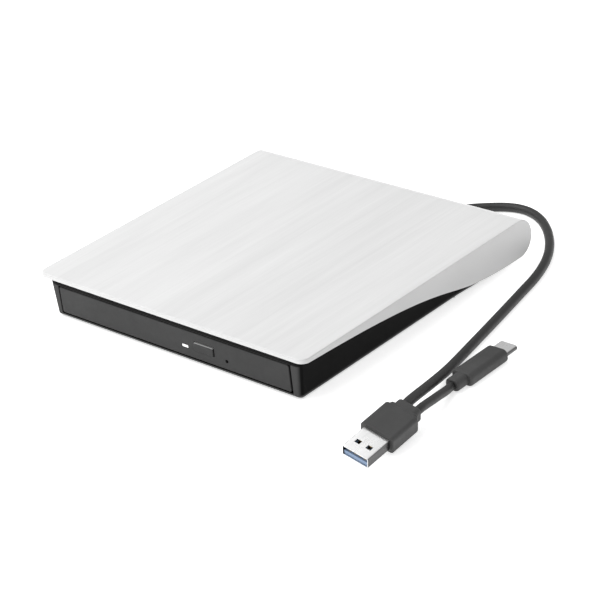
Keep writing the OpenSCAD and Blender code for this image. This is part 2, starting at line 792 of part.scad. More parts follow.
inner_tab_u = lens_in - sled_back - 0.4;
outer_tab_u = lens_out + sled_front + slide_gap;
module mech_frame() {
    color([0.68, 0.69, 0.71]) in_mech() difference() {
        union() {
            block(frame_u, frame_v, [z_frame, z_mech]);
            for (u = [inner_tab_u - tab_t, outer_tab_u], v = [-rod_v, rod_v])
                block([u, u + tab_t], [v - 2, v + 2], [z_mech - eps, tab_top]);
            block([outer_tab_u, outer_tab_u + tab_t], [rod_v, frame_v[1]],
                [z_mech - eps, tab_top]);
        }
        for (v = [-rod_v, rod_v])
            rod_x(v, z_axis, rod_d / 2 + run_gap, [inner_tab_u - tab_t - eps, frame_u[1] + eps]);
        rod_x(screw_v, z_axis, screw_d / 2 + run_gap, [outer_tab_u - eps, frame_u[1] + eps]);
        block([inner_tab_u - motor_len - 0.4, inner_tab_u + 0.6],
            [screw_v - motor_r - slide_gap, frame_v[1] + eps], [z_frame - eps, z_mech + eps]);
        block([lens_in - 4, lens_out + 3], [-7, 7], [z_frame - eps, z_mech + eps]);
    }
}

module mech_cover() {
    z = z_recess - 0.45;
    color([0.74, 0.75, 0.77]) in_mech() difference() {
        union() {
            block(cover_u, [-cover_half, cover_half], [z, z + mech_cover_t]);
            post([0, 0], cover_hub_r, [z, z + mech_cover_t]);
        }
        post([0, 0], turntable_d / 2 + hub_clear, [z - eps, z + mech_cover_t + eps]);
        block([turntable_d / 2 - 1, cover_u[1] + eps], [-slot_half, slot_half],
            [z - eps, z + mech_cover_t + eps]);
    }
}

module guide_rods() {
    color([0.85, 0.86, 0.88]) in_mech() for (v = [-rod_v, rod_v])
        rod_x(v, z_axis, rod_d / 2, [inner_tab_u - tab_t, outer_tab_u + tab_t]);
}

module spindle_motor() {
    color([0.6, 0.5, 0.35]) in_mech() difference() {
        union() {
            post([0, 0], base_r, [z_mech, z_mech + base_t]);
            post([0, 0], sleeve_r, [z_mech, z_mech + 4.1]);
            difference() {
                post([0, 0], cup_r - cup_wall - slide_gap - 0.3, [z_mech, z_mech + 3.6]);
                post([0, 0], sleeve_r + 0.8, [z_mech + base_t, z_mech + 3.7]);
            }
        }
        post([0, 0], shaft_r + run_gap, [z_mech + base_t, z_mech + 4.2]);
    }
}

module spindle_rotor() {
    color([0.8, 0.8, 0.82]) in_mech() difference() {
        union() {
            difference() {
                post([0, 0], cup_r, [z_cup, z_flange + eps]);
                post([0, 0], cup_r - cup_wall, [z_cup - eps, z_flange - 0.7]);
            }
            post([0, 0], turntable_d / 2, [z_flange, z_flange + flange_t]);
            post([0, 0], hub_d / 2, [z_flange, z_flange + flange_t + hub_h]);
            post([0, 0], shaft_r, [z_mech + base_t + 0.2, z_flange]);
        }
        for (a = [0:120:240]) rotate(a)
            translate([hub_d / 2 - ball_r + ball_out, 0, z_flange + flange_t + hub_h - 0.8])
                sphere(r = ball_r + run_gap);
    }
}

module turntable_ring() {
    z = z_flange + flange_t;
    color([0.1, 0.1, 0.1]) in_mech() difference() {
        post([0, 0], turntable_d / 2 - 0.2, [z, z + ring_t]);
        post([0, 0], turntable_d / 2 - ring_w, [z - eps, z + ring_t + eps]);
    }
}

module hub_balls() {
    color([0.85, 0.85, 0.87]) in_mech() for (a = [0:120:240]) rotate(a)
        translate([hub_d / 2 - ball_r + ball_out, 0, z_flange + flange_t + hub_h - 0.8])
            sphere(r = ball_r);
}

module sled_motor() {
    color([0.7, 0.7, 0.72]) in_mech() difference() {
        rod_x(screw_v, z_axis, motor_r, [inner_tab_u - motor_len, inner_tab_u]);
        rod_x(screw_v, z_axis, 0.6 + run_gap, [inner_tab_u - 3, inner_tab_u + eps]);
    }
}

module lead_screw() {
    color([0.75, 0.7, 0.5]) in_mech() {
        rod_x(screw_v, z_axis, screw_d / 2, [inner_tab_u + 0.3, outer_tab_u + tab_t]);
        rod_x(screw_v, z_axis, 0.6, [inner_tab_u - 2.8, inner_tab_u + 0.4]);
    }
}

module pickup_sled() {
    u = [lens_in - sled_back, lens_in + sled_front];
    color([0.55, 0.56, 0.58]) in_mech() difference() {
        union() {
            block(u, [-sled_half, sled_half], [z_sled, z_sled_top]);
            block([u[0], u[0] + 5], [sled_half - eps, screw_v + 2.2], [z_axis - 1.9, z_axis + 1.9]);
        }
        rod_x(rod_v, z_axis, rod_d / 2 + run_gap, [u[0] - eps, u[1] + eps]);
        rod_x(-rod_v, z_axis, rod_d / 2 + run_gap * 2, [u[0] - eps, u[1] + eps]);
        rod_x(screw_v, z_axis, screw_d / 2 + slide_gap, [u[0] - eps, u[1] + eps]);
        block([lens_in - actuator[0] / 2 - pocket_gap, u[1] + eps],
            [-actuator[1] / 2 - pocket_gap, actuator[1] / 2 + pocket_gap],
            [z_sled_top - 1, z_sled_top + eps]);
    }
}

lens_z = z_sled_top - pocket_gap;
module lens_holder() {
    color([0.1, 0.1, 0.1]) in_mech() difference() {
        block([lens_in - actuator[0] / 2, lens_in + actuator[0] / 2 - slide_gap],
            [-actuator[1] / 2, actuator[1] / 2], [lens_z, lens_z + actuator[2]]);
        post([lens_in, 0], lens_r - 0.4, [lens_z - eps, lens_z + actuator[2] + eps]);
    }
}

module objective_lens() {
    color([0.6, 0.7, 0.9]) in_mech()
        post([lens_in, 0], lens_r, [lens_z + actuator[2], lens_z + actuator[2] + lens_h]);
}

// ---- bridge board and lead -----------------------------------------------------------------

module bridge_board() {
    color([0.1, 0.35, 0.2]) difference() {
        block([bay_x0 + 2, bay_x1 - 1], [y_drive_end + 0.8, tail_cy + 1.2],
            [z_board, z_board + board_t]);
        for (x = post_x) post([x, post_y], pilot_r + fit_gap, [z_board - eps, z_data + eps]);
    }
}

module bridge_socket() {
    y0 = y_drive_end + 0.2;
    color([0.12, 0.12, 0.13]) {
        block([data_x[0] - 1, data_x[1] + 1], [y0, y0 + 4.4], [z_data, z_data + data_h + 0.3]);
        block([data_x[0] + 1.8, data_x[1] - 1.8], [y0 - 2.8, y0 + eps],
            [z_data + 1.3, z_data + data_h - 1.3]);
    }
}

module bridge_chips() {
    y0 = y_drive_end + 1.6;
    color([0.08, 0.08, 0.09]) {
        block([-22, -15], [y0, y0 + 4.4], [z_board - 1, z_board]);
        block([-10, -6], [y0, y0 + 3.2], [z_board - 1.2, z_board]);
    }
}

module bridge_screws() {
    color([0.5, 0.5, 0.52]) for (x = post_x) {
        post([x, post_y], 1.5, [z_data, z_data + 0.8]);
        post([x, post_y], pilot_r, [z_skid - 0.8, z_data]);
    }
}

module cord_boot() {
    color([0.1, 0.1, 0.11]) difference() {
        union() {
            translate([outlet_x, boot_y0, boot_z]) rotate([-90, 0, 0]) rotate_extrude()
                polygon([[0, 0], [boot_r0, 0], [boot_r0, boot_len * 0.4], [boot_r1, boot_len],
                    [0, boot_len]]);
            block([outlet_x - boot_flange[0] / 2, outlet_x + boot_flange[0] / 2],
                [boot_y0, boot_y0 + boot_flange[1]],
                [z_tail + cover_wall + 0.2, z_tail + cover_wall + 0.2 + boot_flange[2]]);
        }
        rod_y(outlet_x, boot_z, cord_d / 2 + fit_gap, [boot_y1 - boot_hold, boot_y1 + eps]);
    }
}

module cord() {
    color([0.2, 0.2, 0.21]) tube(cord_route, cord_d / 2, 10);
}

module second_lead() {
    color([0.2, 0.2, 0.21]) tube(lead_route, lead_d / 2, 8);
}

// ---- larger plug -----------------------------------------------------------------------

module usb_a_overmould() {
    y1 = a_body[1];
    y2 = y1 + a_step[1];
    y3 = y2 + a_neck[1];
    color([0.22, 0.22, 0.23]) at_plug_a() difference() {
        union() {
            along_y(round_rect(a_body[0], a_body[2], 1.6), [0, y1]);
            along_y(round_rect(a_step[0], a_step[2], 1.6), [y1 - eps, y2]);
            along_y(round_rect(a_neck[0], a_neck[2], 1.6), [y2 - eps, y3]);
        }
        rod_y(-a_split, 0, cord_d / 2 + fit_gap, [y3 - boot_hold, y3 + eps]);
        rod_y(a_split, 0, lead_d / 2 + fit_gap, [y3 - boot_hold, y3 + eps]);
    }
}

module usb_a_shell() {
    color([0.9, 0.9, 0.91]) at_plug_a() difference() {
        along_y(round_rect(a_shell[0], a_shell[2], 0.4), [-a_shell[1], 0]);
        along_y(round_rect(a_shell[0] - 2 * a_wall, a_shell[2] - 2 * a_wall, 0.2),
            [-a_shell[1] - eps, eps]);
        for (s = [-1, 1])
            block([s * a_window_x - a_window[0] / 2, s * a_window_x + a_window[0] / 2],
                [-a_window_y - a_window[1] / 2, -a_window_y + a_window[1] / 2], [-4, 4]);
    }
}

tongue_t = 1.7;
z_tongue = a_wall + 0.05 - a_shell[2] / 2;
module usb_a_tongue() {
    w = a_shell[0] / 2 - a_wall - 0.15;
    color([0.2, 0.35, 0.75]) at_plug_a()
        block([-w, w], [0.5 - a_shell[1], 0], [z_tongue, z_tongue + tongue_t]);
}

contact_t = 0.15;
module usb_a_contacts() {
    color([0.85, 0.7, 0.3]) at_plug_a() for (x = [-3.5, -1, 1, 3.5])
        block([x - 0.5, x + 0.5], [1.2 - a_shell[1], -1],
            [z_tongue + tongue_t, z_tongue + tongue_t + contact_t]);
}

// ---- smaller plug ----------------------------------------------------------------------

module usb_c_overmould() {
    color([0.22, 0.22, 0.23]) translate(c_at) difference() {
        union() {
            along_y(round_rect(c_body[0], c_body[2], 2), [0, c_body[1]]);
            along_y(round_rect(c_neck[0], c_neck[2], 2), [-c_neck[1], eps]);
        }
        rod_y(0, 0, lead_d / 2 + fit_gap, [-c_neck[1] - eps, boot_hold - c_neck[1]]);
    }
}

module usb_c_shell() {
    r = c_shell[2] / 2;
    y = [c_body[1], c_body[1] + c_shell[1]];
    color([0.9, 0.9, 0.91]) translate(c_at) difference() {
        along_y(round_rect(c_shell[0], c_shell[2], r - 0.01), y);
        along_y(round_rect(c_shell[0] - 2 * c_wall, c_shell[2] - 2 * c_wall, r - c_wall - 0.01),
            [y[0] - eps, y[1] + eps]);
    }
}

module usb_c_insert() {
    color([0.1, 0.1, 0.1]) translate(c_at)
        block([-3.2, 3.2], [c_body[1], c_body[1] + 1.4], [-0.7, 0.7]);
}

top_cover();
lower_shell();
rubber_feet();
case_screws();
drive_screws();
drive_chassis();
drive_lid();
lid_screws();
guide_left();
guide_right();
slide_rail_left();
slide_rail_right();
latch_pin();
back_board();
data_plug();
flex_lower();
tray();
tray_rim();
tray_frame();
tray_shield();
tray_bezel();
light_pipe();
status_light();
front_board();
eject_switch();
latch_solenoid();
main_board();
board_chips();
flex_upper();
mech_frame();
mech_cover();
guide_rods();
spindle_motor();
sled_motor();
eject_button();
latch_lever();
spindle_rotor();
turntable_ring();
hub_balls();
lead_screw();
pickup_sled();
lens_holder();
objective_lens();
bridge_board();
bridge_socket();
bridge_chips();
bridge_screws();
cord_boot();
cord();
usb_a_overmould();
usb_a_shell();
usb_a_tongue();
usb_a_contacts();
second_lead();
usb_c_overmould();
usb_c_shell();
usb_c_insert();
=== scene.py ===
"""Looks for the external slim optical drive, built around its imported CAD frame.

Lengths are in millimetres in the CAD part's own frame: +X right, +Y to the back, +Z up, with
the origin on the surface that the feet stand on. Meshes, the lights' places and the depth of a
finish's relief are in metres.
"""

import json
import math

import bmesh
import bpy
import numpy as np
from mathutils import Matrix, Vector
from mathutils.geometry import tessellate_polygon


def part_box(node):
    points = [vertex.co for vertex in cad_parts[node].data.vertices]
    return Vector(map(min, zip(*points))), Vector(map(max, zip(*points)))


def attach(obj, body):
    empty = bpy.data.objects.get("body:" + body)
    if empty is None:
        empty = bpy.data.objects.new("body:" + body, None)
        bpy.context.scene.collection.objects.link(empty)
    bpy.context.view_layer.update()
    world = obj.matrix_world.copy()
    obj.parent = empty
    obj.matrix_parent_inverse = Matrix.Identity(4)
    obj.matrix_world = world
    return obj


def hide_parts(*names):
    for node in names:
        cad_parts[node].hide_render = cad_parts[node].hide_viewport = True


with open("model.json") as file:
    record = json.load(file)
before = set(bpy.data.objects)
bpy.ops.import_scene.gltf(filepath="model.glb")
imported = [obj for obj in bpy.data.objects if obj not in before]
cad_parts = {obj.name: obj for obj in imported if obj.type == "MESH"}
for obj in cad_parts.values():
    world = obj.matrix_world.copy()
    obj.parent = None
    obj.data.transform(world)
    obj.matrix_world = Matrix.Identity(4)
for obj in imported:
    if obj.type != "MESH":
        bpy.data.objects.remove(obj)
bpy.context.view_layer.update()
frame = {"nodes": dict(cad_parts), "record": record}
nodes = frame["nodes"]
MM = 0.001


def span(node):
    """Lowest and highest corner of a CAD node, in millimetres."""
    low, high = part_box(node)
    return np.array(low) / MM, np.array(high) / MM


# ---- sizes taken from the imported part, and the few that its boxes don't tell ------------------

cover_low, cover_high = span("top_cover")
shell_low, shell_high = span("lower_shell")
bezel_low, bezel_high = span("tray_bezel")
button_low, button_high = span("eject_button")
light_low, light_high = span("light_pipe")

CASE_HALF = cover_high[0]
TAIL_Y = cover_high[1]
FRONT_Y = cover_low[1]
TOP_Z = cover_high[2]
FACE_Y = shell_low[1]
FLOOR_Z = shell_low[2]
TAIL_R = (cover_high[2] - cover_low[2]) / 2
TAIL_CY = TAIL_Y - TAIL_R
TAIL_CZ = TOP_Z - TAIL_R
LIP_H = 2.1
CORNER_R = 4.0
COVER_WALL = 1.8
CHEEK_LEAD = (105.0, 3.9)           # the first handle of the cheeks' curve: back and down
CHEEK_TRAIL = 55.5                  # the last handle, level, forward of the tail's axis
CHEEK = np.array([[FRONT_Y, TOP_Z - LIP_H],
                  [FRONT_Y + CHEEK_LEAD[0], TOP_Z - LIP_H - CHEEK_LEAD[1]],
                  [TAIL_CY - CHEEK_TRAIL, TOP_Z - 2 * TAIL_R], [TAIL_CY, TOP_Z - 2 * TAIL_R]])
SHELL_HALF = 68.0
SHELL_LEAN = 1.4
SHELL_IN = 65.8
SHELL_END = 57.5
SHELL_TOP = shell_high[2]
DRIVE_Z = 2.3
MOUTH_HALF = 64.35
MOUTH_TOP = 14.85
SKID_TOP = 3.0
SKID_FLARE = 1.3
SKID_HALF = SHELL_HALF + SKID_FLARE
SKID_END = shell_high[1]
SKID_LEN = 40.0
SKID_CORNER = 10.0
CASE_SCREW = (60.0, 60.5)
DRIVE_SCREW = (58.0, 52.0)
SCREW_RECESS_R = 2.25
RELEASE_AT = (30.2, 6.4)
RELEASE_R = 0.75
FOOT_R = 4.5

CORD_D = 4.0
LEAD_D = 3.5
CORD_ROUTE = np.array([
    [20, 75.5, 3.8], [20, 78, 3.8], [20, 80.5, 3.75], [20.4, 83.6, 3.4],
    [21.6, 87, 2.8], [23.6, 90.2, 2.3], [26.4, 93.2, 2.05], [30.2, 96, 2], [34.6, 98.8, 2],
    [39.4, 101, 2], [44.8, 102, 2], [50.6, 101.2, 2], [57, 98.4, 2], [64, 93.2, 2],
    [71, 86, 2], [77, 78, 2], [81.6, 70, 2], [85, 62, 2], [87.8, 53, 2], [90.2, 42, 2],
    [92.5, 31, 2], [94.8, 20, 2], [97.1, 8.6, 2], [99.4, -3, 2], [101.7, -14.6, 2],
    [104.2, -25, 2.7], [106.7, -35, 4.1], [109.2, -45, 5.8], [111.3, -53.4, 7.3],
    [112.9, -59, 8.3], [113.8, -62, 8.6], [113.96, -64.05, 8.4]])
LEAD_ROUTE = np.array([
    [119.05, -64, 7.3], [119.1, -61.8, 7.6], [118.8, -58.8, 7.6], [118.1, -55, 7],
    [117.2, -50.5, 6.1], [116.2, -46, 5.2], [115.2, -41.5, 4.2], [114.2, -37.8, 3.35],
    [113.4, -35, 2.9], [113.2, -33.2, 2.85], [113.2, -31.6, 2.85]])
PLUG_A_AT = (116.2, -81.6, 5.7)
PLUG_A_TURN = (-1.0, 7.0, 12.0)     # yaw, pitch and roll in degrees
A_BODY = (15.4, 15.0, 7.6)          # moulding of the larger plug: width, length and height
A_STEP = (13.0, 1.2, 7.0)
A_NECK = (10.6, 3.3, 6.4)
A_SLEEVE = (12.0, 12.3, 4.5)
A_WALL = 0.32
A_TONGUE = (11.06, 11.8, 1.7)
A_TONGUE_GAP = 0.05
A_WINDOW_X = 2.6
A_WINDOW_HALF = 1.15
A_WINDOW_Y = (-8.25, -6.35)
A_CONTACT = (1.0, 0.15)
A_CONTACT_Y = (-11.1, -1.0)
A_CONTACTS_X = (-3.5, -1.0, 1.0, 3.5)

PLUG_C_AT = (113.2, -28.0, 2.85)
C_BODY = (10.0, 23.0, 5.6)
C_NECK = (6.6, 6.0, 5.0)
C_SLEEVE = (8.3, 2.4, 1.19)         # width, height and corner radius
C_WALL = 0.3
C_SLEEVE_Y = (22.5, 29.6)
C_INSERT = (6.4, 1.4)
C_INSERT_Y = (22.8, 24.4)


# ---- camera, floor and lights ----------------------------------------------------------------

VIEW_AZIMUTH = 44.68
VIEW_ELEVATION = 27.57
VIEW_ROLL = -6.92
VIEW_DISTANCE = 910.52
AIM_ACROSS = 50.13                  # how far the camera stands off the aim, across and up
AIM_UP = 21.78
AIM_AT = (0.0, FACE_Y + 0.25, FLOOR_Z)
LENS = 137.28
SENSOR = 36.0

SURROUND = 0.62                     # strength of the even pale surroundings
FLOOR_HALF = 6.0                    # metres
FLOOR_TONE = 0.93
FLOOR_GLOW = 0.6


def place_camera():
    """The camera looks back along (sin a cos e, -cos a cos e, sin e) at azimuth a and elevation e,
    is rolled about that line, and stands VIEW_DISTANCE from the aim with a small side step."""
    a, e, r = map(math.radians, (VIEW_AZIMUTH, VIEW_ELEVATION, VIEW_ROLL))
    back = Vector((math.sin(a) * math.cos(e), -math.cos(a) * math.cos(e), math.sin(e)))
    level = Vector((math.cos(a), math.sin(a), 0))
    upward = back.cross(level)
    right = math.cos(r) * level + math.sin(r) * upward
    up = math.cos(r) * upward - math.sin(r) * level
    data = bpy.data.cameras.new("camera")
    data.lens, data.sensor_width = LENS, SENSOR
    data.clip_start, data.clip_end = 0.01, 20
    camera = bpy.data.objects.new("camera", data)
    bpy.context.scene.collection.objects.link(camera)
    at = Vector(AIM_AT) + VIEW_DISTANCE * back + AIM_ACROSS * right + AIM_UP * up
    turn = Matrix((right, up, back)).transposed().to_4x4()
    camera.matrix_world = Matrix.Translation(at * MM) @ turn
    bpy.context.scene.camera = camera


def soft_light(name, at, aim, size, watts):
    """A square softbox of the given side, in metres, that faces its aim."""
    data = bpy.data.lights.new(name, "AREA")
    data.shape, data.size, data.energy = "SQUARE", size, watts
    light = bpy.data.objects.new(name, data)
    light.location = at
    light.rotation_euler = (Vector(aim) - Vector(at)).to_track_quat("-Z", "Y").to_euler()
    bpy.context.scene.collection.objects.link(light)


def studio():
    """Even pale surroundings, a softbox overhead, a weaker one at the front left, and a floor."""
    world = bpy.data.worlds.new("studio")
    world.use_nodes = True
    glow = world.node_tree.nodes["Background"]
    glow.inputs["Color"].default_value = (1, 1, 1, 1)
    glow.inputs["Strength"].default_value = SURROUND
    bpy.context.scene.world = world
    bpy.context.scene.view_settings.view_transform = "Standard"
    soft_light("overhead", at=(-0.27, -0.15, 0.6), aim=(-0.05, -0.02, 0), size=0.7, watts=3.4)
    soft_light("front_left", at=(-0.3, -0.9, 0.3), aim=(0, 0, 0), size=0.6, watts=0.7)

    side = FLOOR_HALF
    mesh = bpy.data.meshes.new("floor")
    mesh.from_pydata([(-side, -side, 0), (side, -side, 0), (side, side, 0), (-side, side, 0)],
                     [], [(0, 1, 2, 3)])
    floor = bpy.data.objects.new("floor", mesh)
    bpy.context.scene.collection.objects.link(floor)
    pale = bpy.data.materials.new("pale_floor")
    pale.use_nodes = True
    shader = pale.node_tree.nodes["Principled BSDF"]
    shader.inputs["Base Color"].default_value = (FLOOR_TONE, FLOOR_TONE, FLOOR_TONE, 1)
    shader.inputs["Roughness"].default_value = 0.9
    shader.inputs["Emission Color"].default_value = (1, 1, 1, 1)
    shader.inputs["Emission Strength"].default_value = FLOOR_GLOW
    mesh.materials.append(pale)


place_camera()
studio()


# ---- mesh helpers ----------------------------------------------------------------------------

def grid_faces(rows, columns, closed_rows=False, closed_columns=False):
    """Quads of a grid of points numbered row by row, joined round where a direction is closed."""
    r = np.arange(rows if closed_rows else rows - 1)[:, None]
    c = np.arange(columns if closed_columns else columns - 1)[None, :]
    r1, c1 = (r + 1) % rows, (c + 1) % columns
    return np.stack([r * columns + c, r * columns + c1, r1 * columns + c1, r1 * columns + c],
                    -1).reshape(-1, 4)


def skin(rings):
    """Closed surface through rings of equally many points, each end shut by one flat face."""
    rings = np.asarray(rings, float)
    count, around = rings.shape[:2]
    faces = grid_faces(count, around, closed_columns=True).tolist()
    faces.append(list(range(around))[::-1])
    faces.append([(count - 1) * around + i for i in range(around)])
    return rings.reshape(-1, 3), faces


def rounded(width, height, radius, inset=0.0, at=(0.0, 0.0), steps=6):
    """Rectangle with round corners: four quarter circles, pulled in evenly by the inset."""
    w, h = width / 2 - inset, height / 2 - inset
    r = min(max(radius - inset, 0.02), w, h)
    quarter = np.repeat(np.arange(4), steps + 1)
    turn = np.radians(quarter * 90 + np.tile(np.linspace(0, 90, steps + 1), 4))
    x_sign = np.array([1, -1, -1, 1])[quarter]
    y_sign = np.array([1, 1, -1, -1])[quarter]
    return np.stack([at[0] + x_sign * (w - r) + r * np.cos(turn),
                     at[1] + y_sign * (h - r) + r * np.sin(turn)], 1)


def circle(radius, at=(0.0, 0.0), count=32):
    """Points evenly round a circle."""
    turn = np.arange(count) * 2 * np.pi / count
    return np.stack([at[0] + radius * np.cos(turn), at[1] + radius * np.sin(turn)], 1)


def eased_levels(start, end, start_r, end_r, steps=4):
    """Inset and level pairs of a block from start to end. Each end face is eased by a quarter
    circle: inset r (1 - sin t) at depth r (1 - cos t)."""
    t = np.linspace(0, np.pi / 2, steps + 1)
    way = np.sign(end - start)
    first = np.stack([start_r * (1 - np.sin(t)), start + way * start_r * (1 - np.cos(t))], 1)
    last = np.stack([end_r * (1 - np.sin(t)), end - way * end_r * (1 - np.cos(t))], 1)[::-1]
    return np.vstack([first, last])


def lift(outline, level, axis):
    """Flat outline put at a level along one axis: its two numbers take the other two axes."""
    level = np.full(len(outline), float(level))
    u, v = outline[:, 0], outline[:, 1]
    return np.stack({"x": (level, u, v), "y": (u, level, v), "z": (u, v, level)}[axis], 1)


def block(shape, start, end, start_r, end_r, axis, steps=4):
    """Solid of one outline along an axis. shape(inset) gives the outline pulled in evenly."""
    return skin([lift(shape(inset), level, axis)
                 for inset, level in eased_levels(start, end, start_r, end_r, steps)])


def turned(profile, at, axis, count=48):
    """Surface of revolution: a line of (radius, level) pairs turned about an axis through at."""
    turn = np.arange(count) * 2 * np.pi / count
    r, level = np.asarray(profile, float).T
    u = r[:, None] * np.cos(turn) + at[0]
    v = r[:, None] * np.sin(turn) + at[1]
    level = np.broadcast_to(level[:, None], u.shape)
    return skin(np.stack({"y": (u, level, v), "z": (u, v, level)}[axis], -1))


def plate(shape, holes, start, end, ease, hole_ease, axis):
    """Flat plate with through openings. The rim and each opening's edge are eased at the start
    face; holes are functions of an inset too, where a negative one widens the opening."""
    points, faces, count = [], [], 0
    openings = [(shape, 1.0, ease)] + [(hole, -1.0, hole_ease) for hole in holes]
    fronts, backs = [], []
    for outline, sense, radius in openings:
        rings = [lift(outline(sense * inset), level, axis)
                 for inset, level in eased_levels(start, end, radius, 0.0, 3)[:5]]
        around = len(rings[0])
        faces += (grid_faces(len(rings), around, closed_columns=True) + count).tolist()
        fronts.append((rings[0], count))
        backs.append((rings[-1], count + (len(rings) - 1) * around))
        points += rings
        count += len(rings) * around
    for group in (fronts, backs):
        where = np.concatenate([np.arange(len(ring)) + first for ring, first in group])
        loops = [[Vector(p) for p in ring] for ring, first in group]
        faces += [[int(where[i]) for i in three] for three in tessellate_polygon(loops)]
    return np.concatenate(points), faces


def moved(shell, matrix):
    """A shell's points through a 4 by 4 matrix."""
    points, faces = shell
    m = np.array(matrix, float)
    return np.asarray(points) @ m[:3, :3].T + m[:3, 3], faces


def piece(name, shells, body, stands_for, finish, crease=38.0):
    """One finished piece of closed shells: doubles merged, faces turned outwards, edges sharper
    than the crease angle kept sharp, and large flat faces kept flat in their shading."""
    points, faces, count = [], [], 0
    for p, f in shells:
        points.append(np.asarray(p, float) * MM)
        faces += [[int(i) + count for i in face] for face in f]
        count += len(p)
    mesh = bpy.data.meshes.new(name)
    mesh.from_pydata(np.concatenate(points).tolist(), [], faces)
    work = bmesh.new()
    work.from_mesh(mesh)
    bmesh.ops.remove_doubles(work, verts=work.verts, dist=1e-6)
    bmesh.ops.dissolve_degenerate(work, edges=work.edges, dist=1e-7)
    bmesh.ops.recalc_face_normals(work, faces=work.faces)
    work.to_mesh(mesh)
    work.free()
    mesh.polygons.foreach_set("use_smooth", np.ones(len(mesh.polygons), bool))
    mesh.set_sharp_from_angle(angle=math.radians(crease))
    made = bpy.data.objects.new(name, mesh)
    bpy.context.scene.collection.objects.link(made)
    even = made.modifiers.new("even_shading", "WEIGHTED_NORMAL")
    even.keep_sharp = True
    mesh.materials.append(finish)
    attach(made, body)
    if stands_for:
        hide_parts(*stands_for)
    return made


# ---- finishes --------------------------------------------------------------------------------

class Finish:
    """A node material built up step by step: patterns come from noise on object coordinates."""

    def __init__(self, name):
        self.material = bpy.data.materials.new(name)
        self.material.use_nodes = True
        self.tree = self.material.node_tree
        self.shader = self.tree.nodes["Principled BSDF"]
        self.place = self.tree.nodes.new("ShaderNodeTexCoord")

    def add(self, kind, **settings):
        """A node with its settings, each either a property or an input by its name."""
        node = self.tree.nodes.new(kind)
        for key, value in settings.items():
            if key in node.inputs:
                node.inputs[key].default_value = value
            else:
                setattr(node, key.lower(), value)
        return node

    def link(self, source, target):
        self.tree.links.new(source, target)

    def parts(self, place):
        """The X, Y and Z outputs of Normal, which way a face looks, or of Object, where it is."""
        made = self.add("ShaderNodeSeparateXYZ")
        self.link(self.place.outputs[place], made.inputs["Vector"])
        return made.outputs

    def noise(self, stretch, detail=3.0, roughness=0.55):
        """Noise whose grain is 1 / stretch metres along each axis."""
        scaled = self.add("ShaderNodeMapping", Scale=stretch)
        self.link(self.place.outputs["Object"], scaled.inputs["Vector"])
        made = self.add("ShaderNodeTexNoise", Scale=1.0, Detail=detail, Roughness=roughness)
        self.link(scaled.outputs["Vector"], made.inputs["Vector"])
        return made.outputs["Fac"]

    def ramp(self, fac, low, high, start=0.35, end=0.65):
        """Colour that goes from low to high as the pattern goes from start to end."""
        made = self.add("ShaderNodeValToRGB")
        stops = made.color_ramp.elements
        stops[0].position, stops[1].position = start, end
        stops[0].color, stops[1].color = tone(low), tone(high)
        self.link(fac, made.inputs["Fac"])
        return made.outputs["Color"]

    def spread(self, fac, low, high, start=0.3, end=0.7):
        """Number that goes from low to high as the pattern goes from start to end."""
        made = self.add("ShaderNodeMapRange")
        for key, value in (("From Min", start), ("From Max", end),
                           ("To Min", low), ("To Max", high)):
            made.inputs[key].default_value = value
        self.link(fac, made.inputs["Value"])
        return made.outputs["Result"]

    def mix(self, fac, a, b):
        """Two colours mixed by a pattern. Sockets 0, 6 and 7 are the mix node's colour ones."""
        made = self.add("ShaderNodeMix")
        made.data_type = "RGBA"
        for value, slot in ((fac, made.inputs[0]), (a, made.inputs[6]), (b, made.inputs[7])):
            if hasattr(value, "links"):
                self.link(value, slot)
            else:
                slot.default_value = value
        return made.outputs[2]

    def bump(self, height, depth, strength=1.0):
        """Relief of the given depth in metres, on top of any relief that is already there."""
        made = self.add("ShaderNodeBump", Strength=strength, Distance=depth)
        self.link(height, made.inputs["Height"])
        before = self.shader.inputs["Normal"]
        if before.is_linked:
            self.link(before.links[0].from_socket, made.inputs["Normal"])
        self.link(made.outputs["Normal"], before)

    def set(self, **values):
        """Values on the shader's own sockets, or links into them."""
        for key, value in values.items():
            socket = self.shader.inputs[key.replace("_", " ")]
            if hasattr(value, "links"):
                self.link(value, socket)
            else:
                socket.default_value = value
        return self.material


def tone(value):
    """A grey or a colour as four numbers."""
    return (value, value, value, 1.0) if isinstance(value, float) else (*value, 1.0)


def brushed_cover():
    """Pale cover. Fine streaks run front to back on faces that look up, made of three noises
    stretched along Y, and a highlight is painted where the cover rolls over its back edge. The
    front lip is a little darker streaked, and the cheeks and the underside are smooth and cloudy."""
    f = Finish("brushed_cover")
    facing = f.parts("Normal")
    upward = f.spread(facing["Z"], 0.0, 1.0, 0.55, 0.8)
    broad = f.noise((70, 6, 70), 4.0, 0.6)
    fine = f.noise((330, 11, 330), 5.0, 0.7)
    hair = f.noise((2600, 30, 2600), 3.0, 0.6)
    streaks = f.mix(0.5, f.ramp(broad, 0.655, 0.785, 0.3, 0.7),
                    f.ramp(fine, 0.64, 0.8, 0.25, 0.75))
    streaks = f.mix(0.2, streaks, f.ramp(hair, 0.64, 0.8, 0.3, 0.7))
    # Painted highlight: faces that look back, over the tail's roll, are painted paler than the
    # streaks.
    rolled = f.spread(facing["Y"], 0.0, 1.0, 0.06, 0.5)
    streaks = f.mix(rolled, streaks, f.ramp(fine, 0.86, 0.94, 0.25, 0.75))
    cloudy = f.ramp(f.noise((30, 30, 30), 2.0), 0.57, 0.6)
    rough = f.spread(fine, 0.34, 0.52)
    f.bump(hair, 0.000006, 0.6)
    f.bump(f.noise((3500, 3500, 3500), 2.0), 0.000002, 0.4)
    forward = f.spread(facing["Y"], 1.0, 0.0, -0.9, -0.5)
    sides = f.mix(forward, cloudy, f.ramp(fine, 0.64, 0.68, 0.25, 0.75))
    return f.set(Base_Color=f.mix(upward, sides, streaks), Roughness=rough, IOR=1.47)


